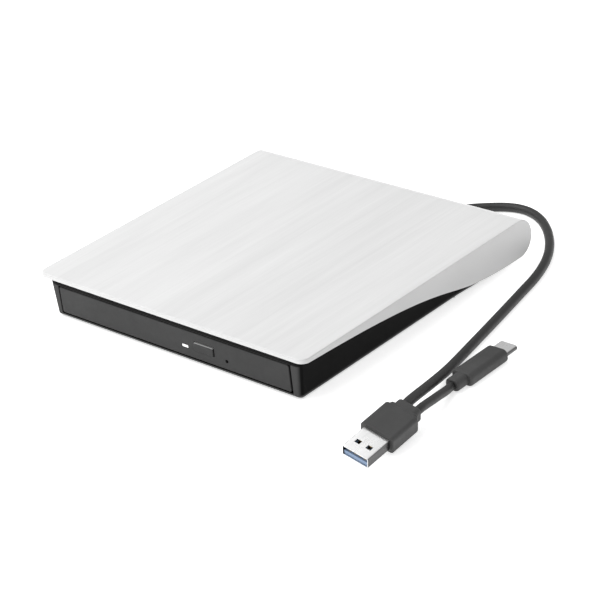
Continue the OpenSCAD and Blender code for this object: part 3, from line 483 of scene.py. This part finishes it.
def satin_plastic(name, low, high, rough_low, rough_high, grain=2600.0, depth=0.000006):
    """Moulded plastic: cloudy colour, uneven gloss, and a fine spark-eroded texture."""
    f = Finish(name)
    cloud = f.noise((45, 45, 45), 4.0)
    texture = f.noise((grain, grain, grain), 2.0, 0.6)
    wear = f.noise((260, 260, 260), 5.0, 0.65)
    f.bump(texture, depth, 0.5)
    return f.set(Base_Color=f.ramp(cloud, low, high), Specular_IOR_Level=0.3,
                 Roughness=f.spread(wear, rough_low, rough_high))


def rolled_metal(name, low, high, rough_low, rough_high, along=(60, 900, 900)):
    """Sheet or turned metal: a grain stretched along one axis in its colour and gloss."""
    f = Finish(name)
    grain = f.noise(along, 4.0, 0.6)
    spots = f.noise((140, 140, 140), 3.0)
    colour = f.ramp(grain, low, high, 0.3, 0.7)
    f.bump(grain, 0.000004, 0.4)
    return f.set(Base_Color=colour, Metallic=1.0, Roughness=f.spread(spots, rough_low, rough_high))


def circuit_board(name):
    """Green solder mask over faint straight tracks, with small tinned pads."""
    f = Finish(name)
    tracks = f.add("ShaderNodeTexBrick", Scale=420.0)
    f.link(f.place.outputs["Object"], tracks.inputs["Vector"])
    for key, value in (("Color1", (0.010, 0.085, 0.035)), ("Color2", (0.014, 0.11, 0.045)),
                       ("Mortar", (0.03, 0.19, 0.08))):
        tracks.inputs[key].default_value = tone(value)
    pads = f.add("ShaderNodeTexVoronoi", Scale=380.0)
    f.link(f.place.outputs["Object"], pads.inputs["Vector"])
    dot = f.spread(pads.outputs["Distance"], 1.0, 0.0, 0.12, 0.16)
    f.bump(tracks.outputs["Fac"], 0.00001, 0.5)
    return f.set(Base_Color=f.mix(dot, tracks.outputs["Color"], tone((0.62, 0.6, 0.55))),
                 Roughness=f.spread(f.noise((300, 300, 300)), 0.25, 0.45), Coat_Weight=0.3)


def wound_copper(name):
    """Enamelled wire: narrow bands that run round the coil."""
    f = Finish(name)
    turns = f.add("ShaderNodeTexWave", Scale=900.0, Distortion=0.6)
    turns.bands_direction = "Z"
    f.link(f.place.outputs["Object"], turns.inputs["Vector"])
    f.bump(turns.outputs["Fac"], 0.00006, 0.7)
    colour = f.ramp(turns.outputs["Fac"], (0.18, 0.05, 0.02), (0.62, 0.25, 0.1), 0.2, 0.8)
    return f.set(Base_Color=colour, Metallic=0.9,
                 Roughness=f.spread(f.noise((500, 500, 500)), 0.25, 0.4))


def clear_part(name, colour, rough, weight):
    """Clear or tinted moulding that lets most of the light through."""
    f = Finish(name)
    haze = f.noise((900, 900, 900), 3.0)
    return f.set(Base_Color=f.ramp(haze, tuple(0.93 * c for c in colour), colour),
                 Roughness=f.spread(haze, rough, rough + 0.08), Transmission_Weight=weight, IOR=1.5)


def pale_mark(name):
    """Milky light window that glows a little."""
    f = Finish(name)
    haze = f.noise((1500, 1500, 1500), 3.0)
    return f.set(Base_Color=f.ramp(haze, 0.78, 0.92), Roughness=f.spread(haze, 0.25, 0.4),
                 Emission_Color=(1, 1, 1, 1), Emission_Strength=0.25)


def soft_sheath(name, low, high):
    """Cable sheath: matt, mottled, with a fine even texture."""
    f = Finish(name)
    mottled = f.noise((300, 300, 300), 4.0)
    f.bump(f.noise((1800, 1800, 1800), 3.0), 0.00001, 0.5)
    return f.set(Base_Color=f.ramp(mottled, low, high), Roughness=f.spread(mottled, 0.42, 0.58))


def shell_plastic():
    """Black moulding, lightly etched. The face that looks forward is painted paler up to the
    mouth's top, and a painted shadow of the cover's lip makes it deep black above that;
    painted shade makes the sides deep black, with a painted highlight along their low edges."""
    f = Finish("shell_black")
    facing = f.parts("Normal")
    # Painted light and shade: the face that looks forward is painted paler and the sides deep
    # black, as lit and shaded copies of one black plastic.
    forward = f.spread(facing["Y"], 1.0, 0.0, -0.95, -0.55)
    cloud = f.noise((45, 45, 45), 4.0)
    level = f.parts("Object")
    # Painted highlight: the sides are painted pale along their lowest 0.7 to 1.5 mm, above the
    # floor.
    low_edge_highlight = f.spread(level["Z"], 1.0, 0.0, (FLOOR_Z + 0.7) * MM, (FLOOR_Z + 1.5) * MM)
    under = f.spread(facing["Z"], 1.0, 0.0, -0.97, -0.85)
    flank = f.mix(low_edge_highlight, f.ramp(cloud, 0.0025, 0.004), f.ramp(cloud, 0.1, 0.13))
    flank = f.mix(under, flank, f.ramp(cloud, 0.012, 0.016))
    # Painted shadow of the cover's lip: the forward face is painted deep black just above the
    # mouth's top.
    brow = f.spread(level["Z"], 0.0, 1.0, MOUTH_TOP * MM - 0.0002, MOUTH_TOP * MM + 0.0004)
    front = f.mix(brow, f.ramp(cloud, 0.056, 0.066), f.ramp(cloud, 0.005, 0.007))
    colour = f.mix(forward, flank, front)
    f.bump(f.noise((2600, 2600, 2600), 2.0, 0.6), 0.000006, 0.5)
    return f.set(Base_Color=colour, Specular_IOR_Level=0.03,
                 Roughness=f.spread(f.noise((260, 260, 260), 5.0), 0.34, 0.46))


def key_plastic():
    """The bezel's plastic, with a highlight painted on faces that look up along the key's upper
    edge.
    """
    f = Finish("key_black")
    facing = f.parts("Normal")
    # Painted highlight: faces that look up, along the key's top edge, are painted pale grey.
    top_highlight = f.spread(facing["Z"], 0.0, 1.0, 0.3, 0.6)
    cloud = f.noise((45, 45, 45), 4.0)
    f.bump(f.noise((2600, 2600, 2600), 2.0, 0.6), 0.000006, 0.5)
    return f.set(Base_Color=f.mix(top_highlight, f.ramp(cloud, 0.014, 0.019), f.ramp(cloud, 0.34, 0.42)),
                 Specular_IOR_Level=0.3,
                 Roughness=f.spread(f.noise((260, 260, 260), 5.0), 0.4, 0.5))


def plug_nickel():
    """Bright drawn sleeve: a fine grain along the plug, and painted shade that makes the narrow
    side looking to +X darker than the broad faces."""
    f = Finish("plug_nickel")
    facing = f.parts("Normal")
    # Painted shade: the narrow side that looks to +X is painted dark.
    shaded_side = f.spread(facing["X"], 0.0, 1.0, 0.55, 0.85)
    grain = f.noise((900, 60, 900), 4.0, 0.6)
    f.bump(grain, 0.000004, 0.4)
    colour = f.mix(shaded_side, f.ramp(grain, 0.72, 0.8, 0.3, 0.7), f.ramp(grain, 0.1, 0.14, 0.3, 0.7))
    return f.set(Base_Color=colour, Metallic=1.0,
                 Roughness=f.spread(f.noise((140, 140, 140)), 0.24, 0.34))


COVER = brushed_cover()
SHELL = shell_plastic()
BEZEL = satin_plastic("bezel_black", 0.014, 0.019, 0.4, 0.5)
TRAY = satin_plastic("tray_black", 0.016, 0.022, 0.4, 0.55, 3200.0, 0.00001)
RUBBER = satin_plastic("rubber", 0.018, 0.026, 0.7, 0.85, 1500.0, 0.00002)
GUIDE = satin_plastic("guide_black", 0.014, 0.02, 0.35, 0.5)
RESIN = satin_plastic("part_black", 0.012, 0.018, 0.45, 0.6, 4000.0)
PLUG = satin_plastic("plug_grey", 0.045, 0.058, 0.48, 0.6, 2400.0, 0.000008)
SHEATH = soft_sheath("lead_sheath", 0.011, 0.017)
SCREW = rolled_metal("screw_zinc", 0.35, 0.5, 0.28, 0.42)
SHEET = rolled_metal("sheet_steel", 0.55, 0.68, 0.26, 0.4)
RAIL = rolled_metal("rail_steel", 0.62, 0.74, 0.2, 0.32, (900, 40, 900))
TURNED = rolled_metal("motor_steel", 0.66, 0.8, 0.14, 0.26, (700, 700, 90))
ALLOY = rolled_metal("sled_alloy", 0.3, 0.4, 0.4, 0.55, (300, 300, 300))
NICKEL = plug_nickel()
KEY = key_plastic()
GOLD = rolled_metal("contact_gold", (0.75, 0.5, 0.18), (0.95, 0.68, 0.3), 0.2, 0.32)
COPPER = wound_copper("coil_copper")
BOARD = circuit_board("board_green")
FLEX = satin_plastic("flex_tan", (0.42, 0.26, 0.09), (0.5, 0.32, 0.12), 0.25, 0.35, 900.0)
BLUE = satin_plastic("tongue_blue", (0.2, 0.28, 0.42), (0.24, 0.33, 0.48), 0.3, 0.4)
LENS_GLASS = clear_part("lens_glass", (0.55, 0.65, 0.9), 0.02, 0.9)
MILKY = pale_mark("light_window")

SLOT_FINISH = {
    "cover_white": COVER, "shell_black": SHELL, "rubber_black": RUBBER, "screw_steel": SCREW,
    "sheet_steel": SHEET, "rail_steel": RAIL, "guide_black": GUIDE, "tray_black": TRAY,
    "bezel_black": BEZEL, "light_clear": MILKY, "board_green": BOARD, "part_black": RESIN,
    "flex_tan": FLEX, "motor_steel": TURNED, "coil_copper": COPPER, "sled_alloy": ALLOY,
    "lens_glass": LENS_GLASS, "cord_black": SHEATH, "plug_black": PLUG, "plug_steel": NICKEL,
    "tongue_blue": BLUE, "contact_gold": GOLD}


def finish_cad_nodes():
    """Each CAD node takes the finish of its record slot."""
    for row in frame["record"]["subparts"]:
        mesh = nodes[row["node"]].data
        mesh.materials.clear()
        mesh.materials.append(SLOT_FINISH[row["material_slot"]])


finish_cad_nodes()


# ---- leads -----------------------------------------------------------------------------------

def smooth_route(route, between):
    """The route with extra points between its own, on the cubic that passes through four
    neighbours at a time."""
    p = np.vstack([2 * route[0] - route[1], route, 2 * route[-1] - route[-2]])
    t = np.linspace(0, 1, between + 1, endpoint=False)[None, :, None]
    a, b, c, d = (p[k:len(p) - 3 + k][:, None] for k in range(4))
    steps = 0.5 * (2 * b + (c - a) * t + (2 * a - 5 * b + 4 * c - d) * t ** 2
                   + (3 * b - a - 3 * c + d) * t ** 3)
    return np.vstack([steps.reshape(-1, 3), route[-1]])


def lead(name, route, diameter, node, body="root"):
    """Round sheath along one open spline."""
    curve = bpy.data.curves.new(name, "CURVE")
    curve.dimensions = "3D"
    curve.bevel_depth = diameter / 2 * MM
    curve.bevel_resolution = 8
    curve.use_fill_caps = True
    curve.resolution_u = 8
    spline = curve.splines.new("BEZIER")
    spline.bezier_points.add(len(route) - 1)
    for point, place in zip(spline.bezier_points, route * MM):
        point.co = place
        point.handle_left_type = point.handle_right_type = "AUTO"
    made = bpy.data.objects.new(name, curve)
    bpy.context.scene.collection.objects.link(made)
    curve.materials.append(SHEATH)
    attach(made, body)
    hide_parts(node)
    return made


def strain_relief():
    """Tapered rubber sleeve turned about the lead: a plain collar, then rings cut by grooves as
    its radius falls from the collar to the lead's end."""
    low, high = span("cord_boot")
    x, y0, y1, z = CORD_ROUTE[0][0], low[1], high[1], CORD_ROUTE[0][2]
    collar, tip, groove, grooves = 3.2, 2.5, 0.45, 5
    taper = y0 + 0.4 * (y1 - y0)
    level = np.linspace(taper + 0.8, y1 - 1.2, 61)
    share = (level - taper) / (y1 - taper)
    ridge = 0.5 - 0.5 * np.cos(2 * np.pi * grooves * (level - level[0]) / (level[-1] - level[0]))
    radius = collar + (tip - collar) * share - groove * np.clip(1.6 * ridge - 0.5, 0, 1)
    profile = [(0.02, y0), (collar - 0.3, y0), (collar, y0 + 0.3), (collar, taper),
               *zip(radius, level), (tip, y1 - 1.0), (tip, y1 - 0.25), (tip - 0.25, y1),
               (CORD_D / 2 + 0.02, y1), (CORD_D / 2 + 0.02, y1 - 1.5), (0.02, y1 - 1.5)]
    return piece("strain_relief", [turned(profile, (x, z), "y")], "root", ["cord_boot"],
                 SHEATH)


# ---- plugs -----------------------------------------------------------------------------------

def plug_a_frame():
    """Where the larger plug lies: placed, then turned by yaw, pitch and roll."""
    yaw, pitch, roll = map(math.radians, PLUG_A_TURN)
    return (Matrix.Translation(PLUG_A_AT) @ Matrix.Rotation(yaw, 4, "Z")
            @ Matrix.Rotation(pitch, 4, "X") @ Matrix.Rotation(roll, 4, "Y"))


def moulding(sections, radius, corner_steps=6):
    """Body through round-cornered rectangles along Y. Each section is (y, width, height, inset)."""
    return skin([lift(rounded(w, h, radius, inset, steps=corner_steps), y, "y")
                 for y, w, h, inset in sections])


def eased_sections(y0, y1, w, h, r0, r1, steps=5):
    """Sections of a straight length with both ends eased by quarter circles."""
    return [(level, w, h, inset) for inset, level in eased_levels(y0, y1, r0, r1, steps)]


def walled_tube(width, height, radius, wall, y0, y1, windows):
    """Sheet-metal sleeve along Y with open ends: an outer and an inner skin on one grid, whose
    lines fall on the windows' edges. Cells inside a window are left out and its edge is walled."""
    corner = np.radians(np.linspace(0, 90, 6))
    xs = sorted({-width / 2 + radius, width / 2 - radius}
                | {x for x0, x1, _, _ in windows for x in (x0, x1)})
    ys = sorted({y0, y1, y0 + 0.2, y1 - 0.2} | {y for _, _, a, b in windows for y in (a, b)})

    def around(inset):
        w, h, r = width / 2 - inset, height / 2 - inset, radius - inset
        top = [(x, h) for x in xs]
        right = [(w - r + r * np.sin(a), h - r + r * np.cos(a)) for a in corner[1:]]
        down = [(x, -z) for x, z in right[::-1]]
        bottom = [(x, -h) for x in xs[::-1]]
        left = [(-(w - r) - r * np.sin(a), -(h - r) - r * np.cos(a)) for a in corner[1:]]
        up = [(x, -z) for x, z in left[::-1]]
        return np.array(top + right + down + bottom + left + up)

    outer, inner = around(0.0), around(wall)
    count, rows = len(outer), len(ys)
    points = np.concatenate([np.stack([np.repeat(o[None, :, 0], rows, 0),
                                       np.repeat(np.array(ys)[:, None], count, 1),
                                       np.repeat(o[None, :, 1], rows, 0)], -1).reshape(-1, 3)
                             for o in (outer, inner)])
    second = rows * count
    centre = (outer + np.roll(outer, -1, 0)) / 2
    flat = np.abs(outer[:, 1] - np.roll(outer[:, 1], -1)) < 1e-6
    flat &= np.abs(outer[:, 1]) > height / 2 - 1e-6
    middle = (np.array(ys)[:-1] + np.array(ys)[1:]) / 2
    open_cell = np.zeros((rows - 1, count), bool)
    for x0, x1, a, b in windows:
        across = flat & (centre[:, 0] > x0) & (centre[:, 0] < x1)
        along = (middle > a) & (middle < b)
        open_cell |= along[:, None] & across[None, :]
    cells = grid_faces(rows, count, closed_columns=True).reshape(rows - 1, count, 4)
    kept = cells[~open_cell]
    faces = kept.tolist() + (kept[:, ::-1] + second).tolist()
    edges = np.concatenate([kept[:, [0, 1]], kept[:, [1, 2]], kept[:, [2, 3]], kept[:, [3, 0]]])
    key = np.sort(edges, 1)
    _, first, times = np.unique(key, axis=0, return_index=True, return_counts=True)
    rim = edges[first[times == 1]]
    faces += np.stack([rim[:, 1], rim[:, 0], rim[:, 0] + second, rim[:, 1] + second], 1).tolist()
    return points, faces


def larger_plug():
    """Grey moulding in three steps behind a nickel sleeve with two windows, a blue tongue and
    four gold contacts. Local -Y is the mouth."""
    at = plug_a_frame()
    wide, long, tall = A_BODY
    step_end = long + A_STEP[1]
    body = eased_sections(0, long, wide, tall, 0.35, 1.1)
    step = eased_sections(long - 1.0, step_end, A_STEP[0], A_STEP[2], 0.0, 0.7)
    neck = eased_sections(long, step_end + A_NECK[1], A_NECK[0], A_NECK[2], 0.0, 0.9)
    grip = piece("larger_plug_body",
                 [moved(moulding(body, 1.7), at), moved(moulding(step, 1.7), at),
                  moved(moulding(neck, 1.9), at)],
                 "root", ["usb_a_overmould"], PLUG, 50)
    windows = [(s * A_WINDOW_X - A_WINDOW_HALF, s * A_WINDOW_X + A_WINDOW_HALF, *A_WINDOW_Y)
               for s in (-1, 1)]
    tube = walled_tube(A_SLEEVE[0], A_SLEEVE[2], 0.45, A_WALL, -A_SLEEVE[1], -0.02, windows)
    sleeve = piece("larger_plug_sleeve", [moved(tube, at)],
                   "root", ["usb_a_shell"], NICKEL, 30)
    low = A_WALL + A_TONGUE_GAP - A_SLEEVE[2] / 2
    tongue_mid = (0, low + A_TONGUE[2] / 2)
    slab = block(lambda d: rounded(A_TONGUE[0], A_TONGUE[2], 0.15, d, tongue_mid),
                 -A_TONGUE[1], 0.0, 0.15, 0.0, "y")
    tongue = piece("larger_plug_tongue", [moved(slab, at)],
                   "root", ["usb_a_tongue"], BLUE)
    strip_z = low + A_TONGUE[2] + A_CONTACT[1] / 2
    strips = [moved(block(lambda d, x=x: rounded(*A_CONTACT, 0.05, d, (x, strip_z)),
                          *A_CONTACT_Y, 0.05, 0.0, "y"), at) for x in A_CONTACTS_X]
    contacts = piece("larger_plug_contacts", strips, "root", ["usb_a_contacts"],
                     GOLD)
    return [grip, sleeve, tongue, contacts]


def smaller_plug():
    """Round-edged moulding with a stepped neck, and a nickel sleeve with round ends."""
    at = Matrix.Translation(PLUG_C_AT)
    body = eased_sections(0.0, C_BODY[1], C_BODY[0], C_BODY[2], 1.0, 1.0)
    neck = eased_sections(-C_NECK[1], 1.0, C_NECK[0], C_NECK[2], 0.8, 0.0)
    grip = piece("smaller_plug_body",
                 [moved(moulding(body, 2.3, 8), at), moved(moulding(neck, 2.3, 8), at)],
                 "root", ["usb_c_overmould"], PLUG, 50)
    tube = walled_tube(*C_SLEEVE, C_WALL, *C_SLEEVE_Y, [])
    sleeve = piece("smaller_plug_sleeve", [moved(tube, at)],
                   "root", ["usb_c_shell"], NICKEL, 30)
    slab = block(lambda d: rounded(*C_INSERT, 0.3, d), *C_INSERT_Y, 0.0, 0.1, "y")
    insert = piece("smaller_plug_insert", [moved(slab, at)],
                   "root", ["usb_c_insert"], RESIN)
    return [grip, sleeve, insert]


def leads_and_plugs():
    """Both leads with the pieces on them."""
    relief = strain_relief()
    main = lead("main_lead", CORD_ROUTE, CORD_D, "cord")
    second = lead("second_lead_sheath", smooth_route(LEAD_ROUTE, 1), LEAD_D, "second_lead")
    larger, smaller = larger_plug(), smaller_plug()


leads_and_plugs()


# ---- case ------------------------------------------------------------------------------------

def cheek_height(y):
    """Height and slope of the cheeks' underside at y, from its cubic curve."""
    t = np.linspace(0, 1, 400)[:, None]
    curve = ((1 - t) ** 3 * CHEEK[0] + 3 * t * (1 - t) ** 2 * CHEEK[1]
             + 3 * t ** 2 * (1 - t) * CHEEK[2] + t ** 3 * CHEEK[3])
    height = np.interp(y, curve[:, 0], curve[:, 1])
    slope = np.interp(y, curve[:, 0], np.gradient(curve[:, 1], curve[:, 0]))
    return height, slope


def cover_skin():
    """Cover as a profile carried back along one side of its plan: round front corner, straight
    side, then round the tail. At each station the profile runs from the flat top over an eased
    edge, down the cheek, over an eased lower edge and up inside. The other side is its mirror,
    and long faces join the two across the top, the front and the inside."""
    ease, rest = 0.5, 0.6
    belly_stations, rear_stations = 46, 4
    inner_half, inner_front, belly_end = 69.8, FACE_Y - 0.2, SHELL_END + 0.7
    turn = np.radians(np.linspace(0, 90, 13))
    corner = np.stack([CASE_HALF - CORNER_R + CORNER_R * np.sin(turn),
                       FRONT_Y + CORNER_R - CORNER_R * np.cos(turn)], 1)
    side_y = np.concatenate([np.linspace(FRONT_Y + CORNER_R, belly_end, belly_stations)[1:],
                             np.linspace(belly_end, TAIL_CY, rear_stations)])
    tail = np.radians(np.linspace(90, 0, 33)[1:])
    plan_x = np.concatenate([corner[:, 0], np.full(len(side_y) + len(tail), CASE_HALF)])
    plan_y = np.concatenate([corner[:, 1], side_y, TAIL_CY + TAIL_R * np.cos(tail)])
    out_x = np.concatenate([np.sin(turn), np.ones(len(side_y) + len(tail))])
    out_y = np.concatenate([-np.cos(turn), np.zeros(len(side_y) + len(tail))])
    angle = np.concatenate([np.full(len(turn) + len(side_y), np.pi / 2), tail])
    on_tail = np.arange(len(plan_y)) >= len(turn) + len(side_y)
    top_z = np.where(on_tail, TAIL_CZ + TAIL_R * np.sin(angle), TOP_Z)
    top_n = np.stack([np.where(on_tail, np.cos(angle), 0), np.sin(angle)], 1)
    height, slope = cheek_height(plan_y)
    low_z = np.where(on_tail, TAIL_CZ - TAIL_R * np.sin(angle), height)
    slope = np.where(on_tail, 0, slope)
    low_n = np.stack([slope, -np.ones_like(slope)], 1) / np.hypot(slope, 1)[:, None]
    low_n[on_tail] = np.stack([np.cos(angle), -np.sin(angle)], 1)[on_tail]

    t = np.linspace(0, np.pi / 2, 6)
    over = [(ease + rest, 0.0)] + list(zip(ease * (1 - np.sin(t)), ease * (1 - np.cos(t))))
    columns = []
    for inset, drop in over:
        columns.append(np.stack([plan_x - inset * out_x,
                                 plan_y - inset * out_y - drop * top_n[:, 0],
                                 top_z - drop * top_n[:, 1]], 1))
    for inset, drop in over[:0:-1]:
        columns.append(np.stack([plan_x - inset * out_x,
                                 plan_y - inset * out_y - drop * low_n[:, 0],
                                 low_z - drop * low_n[:, 1]], 1))
    belly = plan_y < belly_end - 1e-6
    last = len(turn) + belly_stations - 1
    belly[last - 1] = True                            # first of the two stations at its end
    share = np.clip((np.arange(len(plan_y)) - last) / (len(plan_y) - 1 - last), 0, 1)
    inner_x = np.minimum(plan_x, inner_half) + share * (CASE_HALF - ease - rest - inner_half)
    inner_y = np.maximum(plan_y, inner_front)
    lower = np.interp(inner_y, plan_y[~on_tail], low_z[~on_tail])
    lower = np.where(on_tail, low_z, lower)
    roof = np.where(belly, TOP_Z - COVER_WALL, lower)
    columns.append(np.stack([inner_x, inner_y, lower], 1))
    columns.append(np.stack([inner_x, inner_y, roof], 1))
    right = np.stack(columns, 1)                      # stations by profile points
    left = right * (-1, 1, 1)
    stations, profile = right.shape[:2]
    size = stations * profile
    faces = grid_faces(stations, profile)
    rows = np.arange(stations) * profile
    across = [np.stack([rows[:-1], rows[:-1] + size, rows[1:] + size, rows[1:]], 1),
              np.stack([rows[1:], rows[1:] + size, rows[:-1] + size, rows[:-1]], 1) + profile - 1]
    k = np.arange(profile - 1)
    across.append(np.stack([k, k + 1, k + 1 + size, k + size], 1))
    return (np.concatenate([right.reshape(-1, 3), left.reshape(-1, 3)]),
            np.concatenate([faces, faces[:, ::-1] + size, *across]).tolist())


def tub_outline(half, lean, low, radius, steps=8):
    """Open outline of a trough in X and Z: down one side, round two corners, up the other."""
    turn = np.radians(np.linspace(0, 90, steps + 1))
    corner = np.stack([half - radius + radius * np.cos(turn),
                       low + radius - radius * np.sin(turn)], 1)
    right = np.vstack([[half + lean, SHELL_TOP], corner])
    return np.vstack([right * (-1, 1), right[::-1]])


def tub():
    """Trough closed at the front by a frame: one outline carried round a loop of stations, out
    along the outside, back along the inside, and out again through the drive's mouth."""
    front_r, wall, skid_in, raise_by = 2.2, 2.2, 1.0, 1.0
    outer_r, room_r, mouth_r, chamfer_r = 0.9, 0.4, 0.3, 0.45
    t = np.linspace(0, np.pi / 2, 7)
    rings = [(tub_outline(SHELL_HALF - inset, SHELL_LEAN, FLOOR_Z + 0.55 * inset, outer_r),
              FACE_Y + depth)
             for inset, depth in zip(front_r * (1 - np.sin(t)), front_r * (1 - np.cos(t)))]
    skid_start = SKID_END - SKID_LEN + skid_in
    raised = tub_outline(SHELL_HALF - 0.05, SHELL_LEAN, FLOOR_Z + raise_by, outer_r)
    room = tub_outline(SHELL_IN, 0.0, DRIVE_Z, room_r)
    mouth = tub_outline(MOUTH_HALF, 0.0, DRIVE_Z, mouth_r)
    rings += [(tub_outline(SHELL_HALF, SHELL_LEAN, FLOOR_Z, outer_r), skid_start),
              (raised, skid_start), (raised, SHELL_END), (room, SHELL_END),
              (room, FACE_Y + wall), (mouth, FACE_Y + wall), (mouth, FACE_Y + 0.2),
              (tub_outline(MOUTH_HALF + 0.2, 0.0, DRIVE_Z - 0.15, chamfer_r), FACE_Y)]
    shaped = np.stack([lift(outline, y, "y") for outline, y in rings])
    count, around = shaped.shape[:2]
    faces = grid_faces(count, around, closed_rows=True).tolist()
    faces.append([i * around for i in range(count)])
    faces.append([i * around + around - 1 for i in range(count)][::-1])
    return shaped.reshape(-1, 3), faces


def brow():
    """Bar over the drive's mouth, between the side walls."""
    middle, tall = (MOUTH_TOP + SHELL_TOP) / 2, SHELL_TOP - MOUTH_TOP
    return block(lambda d: rounded(2 * MOUTH_HALF + 1.0, tall, 0.15, d, (0, middle)),
                 FACE_Y, FACE_Y + 2.2, 0.12, 0.0, "y")


def skid_outline(inset):
    """Plan of the skid: it flares from the side walls by a smooth step, 3 t^2 - 2 t^3, and ends
    in two round back corners. The inset moves every point in along its own normal."""
    start = SKID_END - SKID_LEN
    y = np.linspace(start, SKID_END - SKID_CORNER, 25)
    t = np.clip((y - start) / (SKID_LEN - SKID_CORNER - 3), 0, 1)
    side = np.stack([SHELL_HALF + (SKID_HALF - SHELL_HALF) * t * t * (3 - 2 * t), y], 1)
    turn = np.radians(np.linspace(8, 90, 14))
    corner = np.stack([SKID_HALF - SKID_CORNER + SKID_CORNER * np.cos(turn),
                       SKID_END - SKID_CORNER + SKID_CORNER * np.sin(turn)], 1)
    right = np.vstack([side, corner])
    whole = np.vstack([right, right[::-1] * (-1, 1)])
    along = np.roll(whole, -1, 0) - np.roll(whole, 1, 0)
    out = np.stack([along[:, 1], -along[:, 0]], 1)
    out /= np.linalg.norm(out, axis=1)[:, None]
    return whole - inset * out


def lower_shell():
    """Tub, the bar over its mouth, and the skid with its four screw recesses, as one piece."""
    holes = [lambda d, x=s * x, y=y: circle(SCREW_RECESS_R - d, (x, y))
             for x, y in (CASE_SCREW, DRIVE_SCREW) for s in (-1, 1)]
    skid = plate(skid_outline, holes, FLOOR_Z, SKID_TOP, 0.9, 0.15, "z")
    return piece("case_tub", [tub(), brow(), skid], "root", ["lower_shell"], SHELL)


def feet():
    """Four rubber discs, each a turned profile with a shallow dish and eased rims."""
    low, high = span("rubber_feet")
    radius = FOOT_R
    centres = [(low[0] + radius, low[1] + radius), (high[0] - radius, low[1] + radius),
               (low[0] + radius, high[1] - radius), (high[0] - radius, high[1] - radius)]
    profile = [(0.02, low[2] + 0.15), (radius - 1.3, low[2] + 0.15), (radius - 1.0, low[2]),
               (radius - 0.35, low[2]), (radius - 0.1, low[2] + 0.1), (radius, low[2] + 0.35),
               (radius, high[2]), (0.02, high[2])]
    piece("soft_feet", [turned(profile, c, "z") for c in centres], "root", ["rubber_feet"],
          RUBBER)


def case():
    """The cover, the lower shell and its feet."""
    piece("folded_cover", [cover_skin()], "root", ["top_cover"], COVER, 32)
    lower_shell()
    feet()


case()


# ---- front of the tray -----------------------------------------------------------------------

def bezel():
    """Front plate with three openings, then the button and the light that sit in them."""
    wide, tall = bezel_high[0] - bezel_low[0], bezel_high[2] - bezel_low[2]
    middle = (bezel_high[2] + bezel_low[2]) / 2
    button_mid = ((button_low[0] + button_high[0]) / 2, (button_low[2] + button_high[2]) / 2)
    light_mid = ((light_low[0] + light_high[0]) / 2, (light_low[2] + light_high[2]) / 2)
    bw, bh = button_high[0] - button_low[0], button_high[2] - button_low[2]
    lw, lh = light_high[0] - light_low[0], light_high[2] - light_low[2]
    key_gap, key_hole_at = 0.5, (button_mid[0] + 0.15, button_mid[1] + 0.1)
    light_gap, trim = 0.1, 0.5                        # trim is cut off the right end
    holes = [lambda d: rounded(bw + key_gap, bh + key_gap, 0.6, d, key_hole_at),
             lambda d: rounded(lw + light_gap, lh + light_gap, 0.2, d, light_mid),
             lambda d: circle(RELEASE_R - d, RELEASE_AT, 24)]
    front = plate(lambda d: rounded(wide - trim, tall, 0.9, d, (-trim / 2, middle)), holes,
                  bezel_low[1], bezel_high[1], 0.4, 0.12, "y")
    piece("tray_front", [front], "tray_unit", ["tray_bezel"], BEZEL)
    cap_back = button_low[1] + 2.7
    cap = block(lambda d: rounded(bw, bh, 0.5, d, button_mid), button_low[1], cap_back,
                0.3, 0.0, "y")
    stem = block(lambda d: rounded(4.0, 2.0, 0.2, d, (button_mid[0], button_mid[1] - 0.5)),
                 cap_back - 0.1, button_high[1], 0.0, 0.2, "y")
    piece("eject_key", [cap, stem], "button", ["eject_button"], KEY)
    piece("light_window", [block(lambda d: rounded(lw, lh, 0.2, d, light_mid),
                                 light_low[1], light_high[1], 0.1, 0.0, "y")],
          "tray_unit", ["light_pipe"], MILKY)


bezel()
